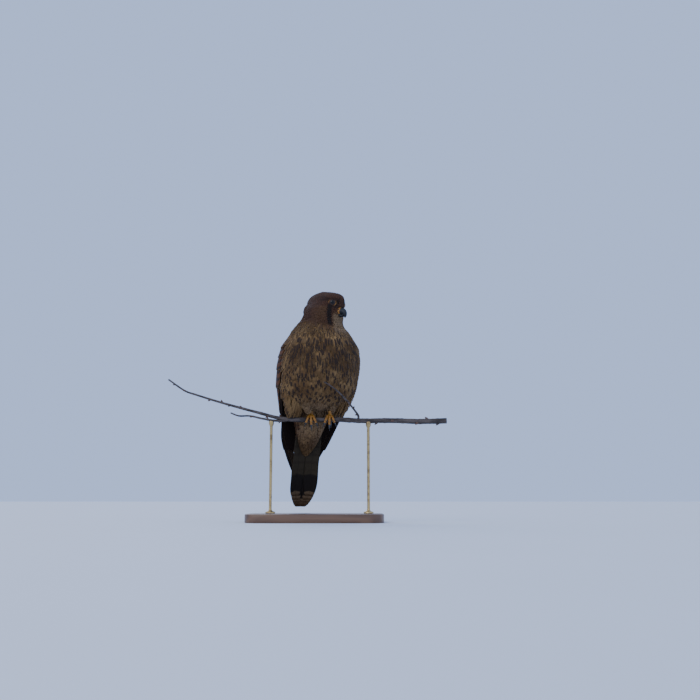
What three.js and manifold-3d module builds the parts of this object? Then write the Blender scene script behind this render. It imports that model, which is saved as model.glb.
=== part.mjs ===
// A common kestrel, life size, perched upright on a cut twig that two rods hold over a flat base.
// Millimetres, +Z up. The twig runs along X and the bird looks out over -Y, with its head turned to its left.
// The origin is the middle of the base's underside. Heights on the bird are measured from the twig's middle.
import * as THREE from 'three';
import { mergeVertices } from 'three/addons/utils/BufferGeometryUtils.js';
import Module from 'manifold-3d';

const wasm = await Module();
wasm.setup();

// Driving dimensions
const GAP = 0.35; // clearance between nodes that meet
const PERCH_HEIGHT = 142; // the twig's middle above the floor
const PERCH_BACK = -14; // the twig's place across the base
const PERCH_RADIUS = 3.2; // under the feet
const BODY_X = 3; // the body's middle along the twig
const BODY_TURN = 18; // degrees that the body faces to its left of straight ahead
const HEAD_TURN = 34; // degrees more that the head turns
const HEAD_BOW = 15; // degrees that the bill points down
const TAIL_LENGTH = 177;
const TAIL_WIDTH = 41; // folded, near the tip
const TAIL_SLOPE = 19.5; // degrees from the vertical
const BASE = { width: 190, depth: 130, thickness: 12, corner: 20, bevel: 2 };
const ROD = { radius: 2, left: 74, right: -62, flange: 7, flangeHeight: 2.5, saddle: 3.6, saddleHeight: 6 };

const PAINT = {
  breast: { color: 0xb09468, roughness: 0.9, metalness: 0 },
  crown: { color: 0x7d5636, roughness: 0.9, metalness: 0 },
  wing: { color: 0x8a5a38, roughness: 0.8, metalness: 0 },
  tail: { color: 0x8d775d, roughness: 0.8, metalness: 0 },
  thigh: { color: 0xc4a878, roughness: 0.9, metalness: 0 },
  skin: { color: 0xd9a93a, roughness: 0.6, metalness: 0 },
  horn: { color: 0x32363c, roughness: 0.35, metalness: 0 },
  eye: { color: 0x140d09, roughness: 0.1, metalness: 0 },
  bark: { color: 0x3d3029, roughness: 0.9, metalness: 0 },
  wood: { color: 0x5f4630, roughness: 0.5, metalness: 0 },
  brass: { color: 0x8c7444, roughness: 0.35, metalness: 1 },
};

// Small mathematics

const radians = THREE.MathUtils.degToRad;
const mix = THREE.MathUtils.lerp;
const step = THREE.MathUtils.smoothstep;
const point = (x, y, z) => new THREE.Vector3(x, y, z);

// A smooth curve through stations that never overshoots them: cubic pieces whose slopes are harmonic means.
function through(places, values) {
  const slopes = values.slice(1).map((v, i) => (v - values[i]) / (places[i + 1] - places[i]));
  const tangents = values.map((_, i) => {
    const before = slopes[Math.max(i - 1, 0)];
    const after = slopes[Math.min(i, slopes.length - 1)];
    return before * after <= 0 ? 0 : 2 / (1 / before + 1 / after);
  });
  return (at) => {
    let k = 0;
    while (k < slopes.length - 1 && at > places[k + 1]) k++;
    const span = places[k + 1] - places[k];
    const t = THREE.MathUtils.clamp((at - places[k]) / span, 0, 1);
    const bend = (1 - t) * (tangents[k] - slopes[k]) - t * (tangents[k + 1] - slopes[k]);
    return mix(values[k], values[k + 1], t) + t * (1 - t) * span * bend;
  };
}

// A repeatable draw between 0 and 1, for small differences between like pieces.
const draw = (n) => THREE.MathUtils.euclideanModulo(Math.sin(n * 127.1 + 11.7) * 43758.5453, 1);

// Solids

// The solid that a closed surface bounds. Faces that look inwards are turned round.
function solid(geometry) {
  const bare = new THREE.BufferGeometry();
  bare.setAttribute('position', geometry.getAttribute('position'));
  bare.setIndex(geometry.index);
  const merged = mergeVertices(bare, 1e-4);
  const vertProperties = merged.attributes.position.array;
  const triVerts = new Uint32Array(merged.index.array);
  const made = new wasm.Manifold(new wasm.Mesh({ numProp: 3, vertProperties, triVerts }));
  if (made.volume() > 0) return made;
  for (let i = 0; i < triVerts.length; i += 3) {
    [triVerts[i + 1], triVerts[i + 2]] = [triVerts[i + 2], triVerts[i + 1]];
  }
  return new wasm.Manifold(new wasm.Mesh({ numProp: 3, vertProperties, triVerts }));
}

// A body of rings: ring(t, turn) gives the points, t runs along from 0 to 1 and turn goes round in radians.
function loft(steps, around, ring) {
  const points = [];
  for (let i = 0; i <= steps; i++) {
    for (let j = 0; j < around; j++) points.push(ring(i / steps, (2 * Math.PI * j) / around));
  }
  const middle = (from) => {
    const sum = point(0, 0, 0);
    points.slice(from, from + around).forEach((p) => sum.add(p));
    return sum.divideScalar(around);
  };
  const last = steps * around;
  const [start, end] = [points.length, points.length + 1];
  points.push(middle(0), middle(last));
  const faces = [];
  for (let j = 0; j < around; j++) {
    const k = (j + 1) % around;
    for (let i = 0; i < last; i += around) faces.push(i + j, i + k, i + around + k, i + j, i + around + k, i + around + j);
    faces.push(start, k, j, end, last + j, last + k);
  }
  return solid(new THREE.BufferGeometry().setFromPoints(points).setIndex(faces));
}

// A thin plate between two like faces: at(u, v, side) gives a point, with side 1 on the outer face and -1 on the inner.
function plate(rows, columns, at) {
  const width = columns.length;
  const count = rows.length * width;
  const points = [1, -1].flatMap((side) => rows.flatMap((u) => columns.map((v) => at(u, v, side))));
  const faces = [];
  const quad = (a, b, c, d) => faces.push(a, b, c, a, c, d);
  for (let i = 0; i < rows.length - 1; i++) {
    for (let j = 0; j < width - 1; j++) {
      const a = i * width + j;
      faces.push(a, a + 1, a + width + 1, a, a + width + 1, a + width);
      faces.push(count + a, count + a + width + 1, count + a + 1, count + a, count + a + width, count + a + width + 1);
    }
  }
  for (let j = 0; j < width - 1; j++) {
    const far = count - width + j;
    quad(j + 1, j, count + j, count + j + 1);
    quad(far, far + 1, count + far + 1, count + far);
  }
  for (let i = 0; i < rows.length - 1; i++) {
    const near = i * width;
    const far = near + width - 1;
    quad(near, near + width, count + near + width, count + near);
    quad(far + width, far, count + far, count + far + width);
  }
  return solid(new THREE.BufferGeometry().setFromPoints(points).setIndex(faces));
}

// A round rod along a curve, with its radius as a function of the way along, and its width over its height.
function tube(curve, steps, around, radius, flatness = 1) {
  const side = (t) => {
    const along = curve.getTangent(t);
    const reference = Math.abs(along.x) > 0.9 ? point(0, 0, 1) : point(1, 0, 0);
    const across = reference.clone().addScaledVector(along, -reference.dot(along)).normalize();
    return [across, along.clone().cross(across)];
  };
  return loft(steps, around, (t, turn) => {
    const [across, up] = side(t);
    const r = radius(t);
    return curve.getPoint(t).addScaledVector(across, r * flatness * Math.cos(turn)).addScaledVector(up, r * Math.sin(turn));
  });
}

// An ellipsoid of half sizes a, b and c about a middle, turned by a quaternion if one is given.
function egg(middle, a, b, c, around = 12, quaternion = new THREE.Quaternion()) {
  const ball = new THREE.SphereGeometry(1, around, Math.ceil(around / 2));
  const place = new THREE.Matrix4().compose(middle, quaternion, point(a, b, c));
  return solid(ball.applyMatrix4(place));
}

const fuse = (pieces) => wasm.Manifold.union(pieces);

// The largest closed surface of a solid.
function largest(made) {
  return made.decompose().reduce((best, body) => (body.volume() > best.volume() ? body : best));
}

function addNode(parent, name, made, paint) {
  const kept = largest(made).getMesh();
  const geometry = new THREE.BufferGeometry();
  geometry.setAttribute('position', new THREE.BufferAttribute(kept.vertProperties, 3));
  geometry.setIndex(new THREE.BufferAttribute(kept.triVerts, 1));
  geometry.computeVertexNormals();
  const mesh = new THREE.Mesh(geometry, new THREE.MeshStandardMaterial(PAINT[paint]));
  mesh.name = name;
  parent.add(mesh);
  return mesh;
}

// The plumage's outline: level slices of the folded wings and the body together, from the wing tips to the neck.
// Each slice is as wide as halfWidth on either side of its middle, at the depth wide, and reaches forward to front and
// backward to back.
const SLICE_HEIGHTS = [-84, -50, -25, 0, 24, 47, 75, 98, 110, 122, 130];
const outline = {
  middle: through(SLICE_HEIGHTS, [-4, -5.2, -4.5, -2.4, -1.4, -1, 0, 1.2, 1.2, 0.6, 0]),
  halfWidth: through(SLICE_HEIGHTS, [11, 27.5, 38, 44, 51, 56, 57.5, 54.5, 48.8, 41, 35]),
  wide: through(SLICE_HEIGHTS, [69, 55, 43, 26, 11, 3, -3, -5, -6, -7, -8]),
  back: through(SLICE_HEIGHTS, [76, 67, 62, 58, 55, 52, 46, 39, 33, 25, 20]),
  front: through(SLICE_HEIGHTS, [62, 48, 34, -2, -31, -44, -51, -50, -47, -43, -40]),
};

// A point of the outline at a height and a turn in degrees, 0 at the breast, 90 at the bird's left side and 180 at
// the back, raised off it by lift.
function outlinePoint(height, turn, lift = 0) {
  const angle = radians(turn);
  const a = outline.halfWidth(height);
  const wide = outline.wide(height);
  const b = Math.cos(angle) > 0 ? wide - outline.front(height) : outline.back(height) - wide;
  const normal = point(Math.sin(angle) / a, -Math.cos(angle) / b, 0).normalize();
  const x = outline.middle(height) + a * Math.sin(angle);
  return point(x, wide - b * Math.cos(angle), height).addScaledVector(normal, lift);
}

// Torso

const TORSO = { bottom: 13, rounding: 25, top: 126 };
const WING_DEPTH = 4.8; // the wing's thickness over the body
const wingFront = through([-84, 0, 20, 45, 75, 100, 112, 119], [91, 91, 88, 80, 75, 76, 82, 97]);
const wingBack = through([-84, 60, 85, 100, 112, 119], [173, 172, 164, 152, 137, 118]);

// The torso fills the outline in front of the wings and between them, and lies deeper under them.
function torsoPoint(height, turn, grow = 0) {
  const folded = Math.abs(turn > 180 ? turn - 360 : turn);
  const front = wingFront(height);
  const back = wingBack(height);
  const under = step(folded, front - 9, front + 3) * (1 - step(folded, back - 3, back + 4));
  const shoulder = 1 - step(height, 112, 121);
  const p = outlinePoint(height, turn, grow - WING_DEPTH * under * shoulder);
  const closing = Math.max(0, (TORSO.bottom + TORSO.rounding - height) / TORSO.rounding);
  const keep = Math.sqrt(Math.max(0.01, 1 - closing * closing));
  const middle = outline.wide(height) - 4;
  const lengthen = height > TORSO.top - 0.01 ? grow : -grow * closing;
  return point(p.x * keep, middle + (p.y - middle) * keep, p.z + lengthen);
}

function torsoSolid(grow = 0) {
  const { bottom, top } = TORSO;
  return loft(15, 26, (t, turn) => torsoPoint(mix(bottom, top, t ** 1.25), THREE.MathUtils.radToDeg(turn), grow));
}

// Head, in its own frame: it looks along -Y, and its middle is the origin

const HEAD = { x: 10.5, y: -18, height: 156.5, front: 21.5, back: 38, half: 19.5, up: 22.5, down: 24, fullness: 0.84, cut: -12 };
const EYE = { radius: 6.1, turn: 46, rise: 19, sunk: 4.6, lid: 0.85 };

// A point of the head's surface: turn is 0 at the bill and 90 at its left, rise is 90 at the crown, in degrees.
function headPoint(turn, rise, grow = 0) {
  const power = (x) => Math.sign(x) * Math.abs(x) ** HEAD.fullness;
  const level = power(Math.cos(radians(rise)));
  const upward = power(Math.sin(radians(rise)));
  const ahead = Math.cos(radians(turn));
  const low = Math.max(0, -upward);
  const length = (ahead > 0 ? HEAD.front + 4 * low : HEAD.back + 15 * low) + grow;
  const half = HEAD.half + 5 * low + grow;
  const tall = (upward > 0 ? HEAD.up : HEAD.down) + grow;
  const crown = 7 * Math.max(0, upward) ** 2;
  return point(half * level * Math.sin(radians(turn)), -length * level * ahead - crown, tall * upward);
}

function headBall(grow = 0) {
  return loft(13, 20, (t, turn) => headPoint(THREE.MathUtils.radToDeg(turn), mix(-84, 87, t), grow));
}

const eyeSide = { left: 1, right: -1 };

function eyeFrame(side) {
  const at = headPoint(EYE.turn * eyeSide[side], EYE.rise);
  const normal = point(at.x * 1.15, at.y * 0.75, at.z * 0.4).normalize();
  const look = new THREE.Quaternion().setFromUnitVectors(point(0, 0, 1), normal);
  return { middle: at.addScaledVector(normal, -EYE.sunk), normal, look };
}

function lidRing(side) {
  const { middle, normal, look } = eyeFrame(side);
  const ring = new THREE.TorusGeometry(EYE.radius * 0.86, EYE.lid, 5, 14);
  const at = middle.clone().addScaledVector(normal, EYE.radius * 0.5);
  return solid(ring.applyMatrix4(new THREE.Matrix4().compose(at, look, point(1, 1, 1))));
}

// The bony brow that shades a falcon's eye.
function brow(side) {
  const s = eyeSide[side];
  const at = headPoint((EYE.turn - 2) * s, EYE.rise + 17, -1.8);
  const tilt = new THREE.Quaternion().setFromEuler(new THREE.Euler(radians(-10), radians(24 * s), radians(24 * s)));
  return egg(at, 2.2, 8, 2.2, 10, tilt);
}

function headSolid() {
  const sides = Object.keys(eyeSide);
  const sockets = sides.map((side) => egg(eyeFrame(side).middle, ...Array(3).fill(EYE.radius + GAP), 16));
  const form = fuse([headBall(), ...sides.map(lidRing), ...sides.map(brow)]);
  return form.subtract(fuse(sockets)).trimByPlane([0, 0, 1], HEAD.cut + GAP / 2);
}

// Bill

const CERE = { start: 16, end: 23.4, middle: -1.2, half: 5.1, tall: 5.2 };
const NOSTRIL = { ahead: 21.9, rise: 0.6, radius: 0.85 };

function cereSolid(grow = 0) {
  return loft(5, 14, (t, turn) => {
    const ahead = mix(CERE.start, CERE.end + grow, t);
    const swell = 1 + 0.1 * Math.sin(Math.PI * t) - 0.07 * t;
    const half = CERE.half * swell + grow;
    const tall = CERE.tall * swell + grow;
    return point(half * Math.cos(turn), -ahead, CERE.middle + tall * Math.sin(turn));
  });
}

function nostrilHoles() {
  const hole = new THREE.CylinderGeometry(NOSTRIL.radius, NOSTRIL.radius, 4, 8).rotateZ(Math.PI / 2);
  return fuse(
    [1, -1].map((s) => {
      const place = hole.clone().translate(s * CERE.half, -NOSTRIL.ahead, NOSTRIL.rise);
      return solid(place);
    })
  );
}

const billPath = (stations) => new THREE.CatmullRomCurve3(stations.map(([ahead, z]) => point(0, -ahead, z)));
const UPPER_PATH = billPath([[23.8, -0.6], [27, -0.6], [30, -2.4], [32, -5.8], [32.2, -9.4]]);
const LOWER_PATH = billPath([[18, -5.2], [22.6, -6.6], [26.4, -7.2], [29.4, -6.9]]);
const upperRadius = through([0, 0.3, 0.6, 0.85, 1], [4.7, 4.1, 3.0, 1.7, 0.35]);
const lowerRadius = through([0, 0.6, 1], [2.9, 2.3, 1.1]);

function upperBill(grow = 0) {
  const teeth = [1, -1].map((s) => egg(point(1.7 * s, -29, -5.2), 0.7, 1.2, 1.6, 8)); // the falcon's bill notch
  return fuse([tube(UPPER_PATH, 9, 10, (t) => upperRadius(t) + grow, 0.92), ...teeth]);
}

function lowerBill(grow = 0) {
  return tube(LOWER_PATH, 7, 10, (t) => lowerRadius(t) + grow, 1.3);
}

// Neck: from the torso's top slice to the slice where the head is cut

const HEAD_ROTATION = new THREE.Euler(radians(HEAD_BOW), 0, radians(HEAD_TURN), 'ZYX');
const BODY_TO_HEAD = new THREE.Matrix4().makeRotationFromEuler(HEAD_ROTATION).setPosition(HEAD.x, HEAD.y, HEAD.height);

function neckSolid() {
  const rise = -THREE.MathUtils.radToDeg(Math.asin((-(HEAD.cut - GAP / 2) / HEAD.down) ** (1 / HEAD.fullness)));
  return loft(4, 26, (t, turn) => {
    const degrees = THREE.MathUtils.radToDeg(turn);
    const from = torsoPoint(TORSO.top, degrees).setZ(TORSO.top + GAP);
    const to = headPoint(degrees - HEAD_TURN, rise).applyMatrix4(BODY_TO_HEAD);
    const inward = step(t, 0, 1) * 0.7 + t * 0.3;
    return point(mix(from.x, to.x, inward), mix(from.y, to.y, inward), mix(from.z, to.z, t));
  });
}

// Wings: vanes laid on the outline in tiers and rooted in a thin core

const VANE_ROWS = [0, 0.6, 0.88, 1];
const VANE_COLUMNS = [-1, 0, 1];
const COVERT_ROWS = [0, 0.74, 1];
const VANE_ROLL = 0.3; // how far each front edge rides over the feather before it

// A vane's half width along its length, as a share of its widest: round at the tip.
const vaneShape = (t) => (t < 0.7 ? mix(0.8, 1, t / 0.7) : Math.sqrt(Math.max(0.04, 1 - ((t - 0.7) / 0.31) ** 2)));

// A feather on the outline, from a root to a tip, each a height and a turn, raised by lift at its root and tip.
function wingVane(s, { root, tip, width, lift, rows = VANE_ROWS, thick = 0.9 }) {
  return plate(rows, VANE_COLUMNS, (t, v, side) => {
    const height = mix(root[0], tip[0], t);
    const turn = mix(root[1], tip[1], t);
    const perDegree = outlinePoint(height, turn + 1).distanceTo(outlinePoint(height, turn - 1)) / 2;
    const across = (v * width * 0.5 * vaneShape(t)) / perDegree;
    const raised = mix(lift[0], lift[1], t) + 0.35 * (1 - v * v) - VANE_ROLL * v + (side * thick) / 2;
    return outlinePoint(height, s * (turn + across), raised);
  });
}

// The tiers of one folded wing, from the outermost primary, deepest, to the feathers over the shoulder.
// In each, share runs from 0 at the wing's front edge to 1 at the back.
const WING_TIERS = [
  {
    count: 6, // primaries
    root: (share) => [46, mix(92, 128, share)],
    tip: (share) => [-82 + 60 * share ** 1.7 + (share === 0 ? 8 : 0), mix(128, 158, share)],
    width: (share) => mix(12, 19, share),
    lift: (share) => [mix(-1.6, -0.6, share), mix(-1.4, 0.3, share)],
  },
  {
    count: 4, // secondaries and tertials
    root: (share) => [84, mix(88, 150, share)],
    tip: (share) => [mix(12, -6, share), mix(103, 165, share)],
    width: () => 23,
    lift: (share) => [mix(-0.6, 0.2, share), mix(0.7, 1.9, share)],
  },
  {
    count: 4, // greater coverts
    rows: COVERT_ROWS,
    root: (share) => [106, mix(86, 146, share)],
    tip: (share) => [mix(44, 58, share), mix(88, 158, share)],
    width: () => 24,
    lift: (share) => [-0.6, mix(1.5, 2.6, share)],
  },
  {
    count: 3, // median coverts
    rows: COVERT_ROWS,
    root: (share) => [114, mix(90, 138, share)],
    tip: (share) => [mix(70, 80, share), mix(84, 154, share)],
    width: () => 25,
    lift: (share) => [-0.8, mix(2.1, 3.2, share)],
  },
  {
    count: 3, // lesser coverts
    rows: COVERT_ROWS,
    root: (share) => [118, mix(96, 130, share)],
    tip: (share) => [mix(92, 97, share), mix(86, 146, share)],
    width: () => 25,
    lift: () => [-1.6, 2.6],
  },
];

function wingSolid(side) {
  const s = eyeSide[side];
  const rows = [0, 0.1, 0.3, 0.5, 0.75, 1];
  const columns = [0, 0.25, 0.5, 0.75, 1];
  const core = plate(rows, columns, (u, v, face) => {
    const height = mix(118, -34, u);
    const turn = mix(wingFront(height) + 3, wingBack(height) - 5, v);
    const depth = mix(WING_DEPTH + 1, 1.8, step(u, 0.5, 0.85));
    return outlinePoint(height, s * turn, face > 0 ? -1.9 : -depth);
  });
  const vanes = WING_TIERS.flatMap(({ count, root, tip, width, lift, rows }, tier) =>
    Array.from({ length: count }, (_, i) => {
      const share = i / (count - 1);
      const odd = draw(tier * 20 + i + (s > 0 ? 0 : 7)) - 0.5;
      const [low, turn] = tip(share);
      return wingVane(s, {
        root: root(share),
        tip: [low + 2 * odd, turn + 1.5 * odd],
        width: width(share),
        lift: lift(share),
        rows,
      });
    })
  );
  return fuse([core, ...vanes]).subtract(torsoSolid(GAP));
}

// Tail, in the sloping frame of its middle feathers: along runs to the tip, lift is towards the back

const TAIL = { x: -3.5, y: 20, height: 46, rootHalf: 10, feather: 20, rounding: 0.6 };
const tailAlong = point(0, Math.sin(radians(TAIL_SLOPE)), -Math.cos(radians(TAIL_SLOPE)));
const tailLift = point(0, Math.cos(radians(TAIL_SLOPE)), Math.sin(radians(TAIL_SLOPE)));

function tailPoint(along, across, lift) {
  const arched = lift - 0.012 * across * across;
  const at = point(across + TAIL.x * Math.min(1, along / 90), TAIL.y, TAIL.height);
  return at.addScaledVector(tailAlong, along).addScaledVector(tailLift, arched);
}

// Twelve feathers: the middle pair lies on top, and each pair further out is lower and shorter.
function tailFeather(place) {
  const out = Math.abs(place);
  const length = TAIL_LENGTH - TAIL.rounding * out * out + draw(place + 31);
  const spread = (TAIL_WIDTH - TAIL.feather) / 11;
  return plate([0, 0.4, 0.8, 0.94, 1], [-1, 0, 1], (t, v, side) => {
    const middle = place * mix(0.5, spread, t);
    const half = (TAIL.feather / 2) * mix(0.62, 1, Math.min(1, t * 1.5)) * Math.min(1, vaneShape(t) * 1.05);
    const across = middle + v * half;
    return tailPoint(length * t, across, -0.55 * out - (place > 0 ? 0.2 : 0) + side * 0.45);
  });
}

function tailSolid() {
  const feathers = Array.from({ length: 12 }, (_, i) => tailFeather(i - 5.5));
  const root = loft(3, 12, (t, turn) =>
    tailPoint(mix(4, 52, t), TAIL.rootHalf * Math.cos(turn), -1.6 + mix(3.6, 1.9, t) * Math.sin(turn))
  );
  return fuse([root, ...feathers]).subtract(torsoSolid(GAP));
}

// The space that the tail and its clearance take, which the coverts on both faces leave free.
function tailSleeve() {
  return loft(6, 16, (t, turn) => {
    const half = mix(TAIL.rootHalf + 3, TAIL_WIDTH / 2 + 3, t);
    const edge = (x) => Math.sign(x) * Math.abs(x) ** 0.35;
    return tailPoint(mix(-20, 176, t), half * edge(Math.cos(turn)), -1.8 + (GAP + 3.6) * edge(Math.sin(turn)));
  });
}

// Coverts: soft wedges of small feathers over the tail's root, face -1 under the tail and 1 on top.
function coverts(face, reach, half, depth) {
  const tips = [-1, 0, 1].map((place) =>
    plate([0, 0.5, 0.8, 1], [-1, 0, 1], (t, v, side) => {
      const width = 9 * vaneShape(t);
      const along = reach - 34 + (t * (46 - 7 * Math.abs(place)));
      return tailPoint(along, place * 6.5 * (1 - 0.3 * t) + v * width * 0.62, face * (4.2 + mix(2.6, 0.3, t) + side * 0.5));
    })
  );
  const wedge = loft(7, 14, (t, turn) => {
    const round = Math.sqrt(Math.max(0.05, 1 - Math.max(0, (t - 0.72) / 0.29) ** 2));
    const x = half(t) * round * Math.cos(turn);
    const deep = Math.max(0, Math.sin(turn)) ** 0.85 * depth(t) * round + 2 * Math.min(0, Math.sin(turn));
    return tailPoint(mix(8, reach, t), x, face * (2 + deep) - 1.6);
  });
  return fuse([wedge, ...tips]).subtract(fuse([torsoSolid(GAP), tailSleeve()]));
}

function ventSolid() {
  const half = through([0, 0.35, 0.7, 1], [31, 25, 16, 9]);
  const depth = through([0, 0.17, 0.39, 0.52, 0.78, 1], [18, 18, 20, 20, 13, 4]);
  return coverts(-1, 98, half, depth);
}

const rumpSolid = () => coverts(1, 84, through([0, 0.5, 1], [26, 18, 10]), through([0, 0.5, 1], [22, 11, 3]));

// Legs, in the body's frame

const LEGS = {
  left: { thigh: 20, ankle: 18 },
  right: { thigh: -22, ankle: -10 },
};
const TARSUS = { radius: 2.2, top: 12 };

function thighSolid(side, grow = 0) {
  const { thigh, ankle } = LEGS[side];
  const half = through([0, 0.25, 0.6, 1], [4.5, 10.5, 15, 16].map((r) => r + grow));
  const form = loft(8, 14, (t, turn) => {
    const height = mix(9.2 - grow, 46 + grow, t);
    const x = mix(mix(ankle, thigh, 0.35), thigh, step(t, 0, 0.5));
    const y = mix(-1, -11, step(t, 0, 0.6));
    const tuft = 1 + 0.06 * Math.cos(6 * turn) * (1 - t);
    return point(x + half(t) * tuft * Math.cos(turn), y + half(t) * 1.05 * tuft * Math.sin(turn), height);
  });
  const outward = side === 'left' ? 1 : -1;
  const inward = new THREE.BoxGeometry(60, 120, 120).translate(outward * -30 + 2, 0, 20);
  return form.subtract(fuse([torsoSolid(GAP), solid(inward)]));
}

// Feet, in the twig's frame: each toe bends over the twig and ends in a claw

const TOES = [
  { name: 'inner', splay: -6.5, sweep: 118, hang: 2.5, radius: 1.75, claw: 9.5 },
  { name: 'middle', splay: -0.5, sweep: 112, hang: 5.5, radius: 1.85, claw: 10 },
  { name: 'outer', splay: 6, sweep: 120, hang: 2, radius: 1.7, claw: 8.5 },
  { name: 'hind', splay: 1, sweep: -112, hang: 1, radius: 1.8, claw: 10 },
];

const footX = (side) => BODY_X + LEGS[side].ankle * Math.cos(radians(BODY_TURN));
const TWIG_TO_BODY = new THREE.Matrix4().makeRotationZ(radians(-BODY_TURN)).multiply(new THREE.Matrix4().makeTranslation(-BODY_X, 0, 0));

// The line that a toe follows: an arc over the twig from its top, then a short straight stretch.
function toeLine({ splay, sweep, hang, radius }, side) {
  const outward = side === 'left' ? 1 : -1;
  const reach = PERCH_RADIUS + GAP + radius + 0.25;
  const bends = [-0.12, 0.15, 0.4, 0.65, 0.85, 1];
  const stations = bends.map((t) => {
    const angle = radians(90 + sweep * t);
    const x = footX(side) + splay * outward * (0.25 + 0.75 * t);
    return point(x, reach * Math.cos(angle), reach * Math.sin(angle));
  });
  const last = stations[stations.length - 1];
  const onward = last.clone().sub(stations[stations.length - 2]).normalize();
  stations.push(last.clone().addScaledVector(onward, hang));
  return new THREE.CatmullRomCurve3(stations);
}

function footSolid(side) {
  const toes = TOES.map((toe) => {
    const pads = (t) => toe.radius * (1.02 + 0.09 * Math.cos(t * 6 * Math.PI) - 0.16 * t);
    return tube(toeLine(toe, side), 7, 6, pads);
  });
  const palm = egg(point(footX(side), 0, 5.9), 3.6, 3.9, 2.9, 10);
  return fuse([palm, tarsus(side), ...toes]).subtract(perchSolid(GAP));
}

// The shank, which stands on the twig and goes up into the thigh's feathers.
function tarsus(side, grow = 0) {
  const from = point(footX(side), 0, 5 - grow);
  return tube(new THREE.LineCurve3(from, point(from.x, 0, TARSUS.top + grow)), 2, 9, () => TARSUS.radius + grow);
}

// A claw: a tapered hook that starts at the toe's end, curving in under the twig.
function clawSolid(toe, side) {
  const line = toeLine(toe, side);
  const end = line.getPoint(1);
  const along = line.getTangent(1);
  const inward = point(0, Math.sign(toe.sweep), 0);
  inward.addScaledVector(along, -inward.dot(along)).normalize();
  const start = end.clone().addScaledVector(along, GAP);
  const hook = new THREE.CatmullRomCurve3(
    [0, 0.35, 0.7, 1].map((t) =>
      start.clone().addScaledVector(along, toe.claw * (t - 0.12 * t * t)).addScaledVector(inward, toe.claw * 0.32 * t * t)
    )
  );
  return tube(hook, 4, 6, (t) => mix(toe.radius * 0.8, 0.28, t ** 0.8));
}

// Twig, in its own frame

const twigLine = (stations) => new THREE.CatmullRomCurve3(stations.map((p) => point(...p)));
const PERCH_LINE = twigLine([
  [184, 0, -1.5], [148, 1.5, -2.4], [106, 0.5, -1.2], [64, 0, -1.6], [34, 0, 0], [4, 0, 0], [-28, 0, 0],
  [-52, 0.5, 2.4], [-77, 1, 9], [-103, 2.5, 16], [-139, 3, 26], [-168, 2, 35], [-184, 1, 40.5], [-208, -1, 56.7],
]);
const LOW_SHOOT_LINE = twigLine([
  [-38, -1.6, -0.6], [-54, -2.2, -1.8], [-74, -2.6, 1.2], [-92, -2, 5], [-108, -3, 5.2], [-119, -3.4, 9.2],
]);
const FRONT_SHOOT_LINE = twigLine([
  [60, 0, -0.4], [60, -6, 4.5], [55.5, -17, 10.5], [49, -30, 17.5], [35, -46, 31.5], [24, -54.5, 40], [13, -60, 46],
]);

const perchRadius = through([0, 0.22, 0.5, 0.62, 0.75, 1], [3.9, 3.5, PERCH_RADIUS, 2.3, 1.75, 1.1]);

// Buds: pointed swellings on alternate sides of a shoot.
function buds(line, from, to, count, size) {
  return Array.from({ length: count }, (_, i) => {
    const t = mix(from, to, (i + 0.4 * draw(i + count)) / count);
    const at = line.getPoint(t);
    const along = line.getTangent(t);
    const turn = i * 2.4 + draw(i) * 0.6;
    const out = point(0, Math.cos(turn), Math.sin(turn)).addScaledVector(along, 0.7).normalize();
    const long = size * (0.8 + 0.5 * draw(i + 5));
    return tube(new THREE.LineCurve3(at, at.clone().addScaledVector(out, long)), 3, 6, (k) =>
      Math.max(0.35, size * 0.36 * Math.sin(Math.PI * (0.3 + 0.66 * k)))
    );
  });
}

function perchSolid(grow = 0) {
  const knotty = (t) => perchRadius(t) + grow + (t > 0.3 && t < 0.62 ? 0 : 0.16 * Math.cos(t * 61));
  const stem = tube(PERCH_LINE, 30, 7, knotty);
  if (grow > 0) return stem;
  return fuse([stem, ...buds(PERCH_LINE, 0.02, 0.22, 3, 6), ...buds(PERCH_LINE, 0.66, 0.985, 6, 4.6)]);
}

const lowShoot = (grow = 0) => tube(LOW_SHOOT_LINE, 12, 6, (t) => mix(1.75, 1.05, t) + grow);
const frontShoot = () => tube(FRONT_SHOOT_LINE, 14, 6, (t) => mix(1.6, 0.75, t));

// Stand, in the part's frame

function standBase() {
  const { width, depth, thickness, corner, bevel } = BASE;
  const [w, d, r] = [width / 2 - bevel, depth / 2 - bevel, corner - bevel];
  const shape = new THREE.Shape()
    .moveTo(-w + r, -d)
    .lineTo(w - r, -d)
    .absarc(w - r, -d + r, r, -Math.PI / 2, 0)
    .lineTo(w, d - r)
    .absarc(w - r, d - r, r, 0, Math.PI / 2)
    .lineTo(-w + r, d)
    .absarc(-w + r, d - r, r, Math.PI / 2, Math.PI)
    .lineTo(-w, -d + r)
    .absarc(-w + r, -d + r, r, Math.PI, Math.PI * 1.5);
  const slab = new THREE.ExtrudeGeometry(shape, {
    depth: thickness - 2 * bevel,
    bevelThickness: bevel,
    bevelSize: bevel,
    bevelSegments: 1,
    curveSegments: 6,
  });
  return solid(slab.translate(0, 0, bevel));
}

// A rod with a flange on the base and a saddle that the twig lies in.
function standRod(x, twig, twigTop) {
  const from = BASE.thickness + GAP;
  const profile = [
    [0, from],
    [ROD.flange, from],
    [ROD.flange, from + ROD.flangeHeight],
    [ROD.radius, from + ROD.flangeHeight + 2],
    [ROD.radius, twigTop - ROD.saddleHeight - 3],
    [ROD.saddle, twigTop - ROD.saddleHeight],
    [ROD.saddle, twigTop],
    [0, twigTop],
  ].map(([r, z]) => new THREE.Vector2(r, z));
  const turned = new THREE.LatheGeometry(profile, 18).rotateX(Math.PI / 2);
  return solid(turned.translate(x, PERCH_BACK, 0)).subtract(twig.translate([0, PERCH_BACK, PERCH_HEIGHT]));
}

// Assembly

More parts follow.
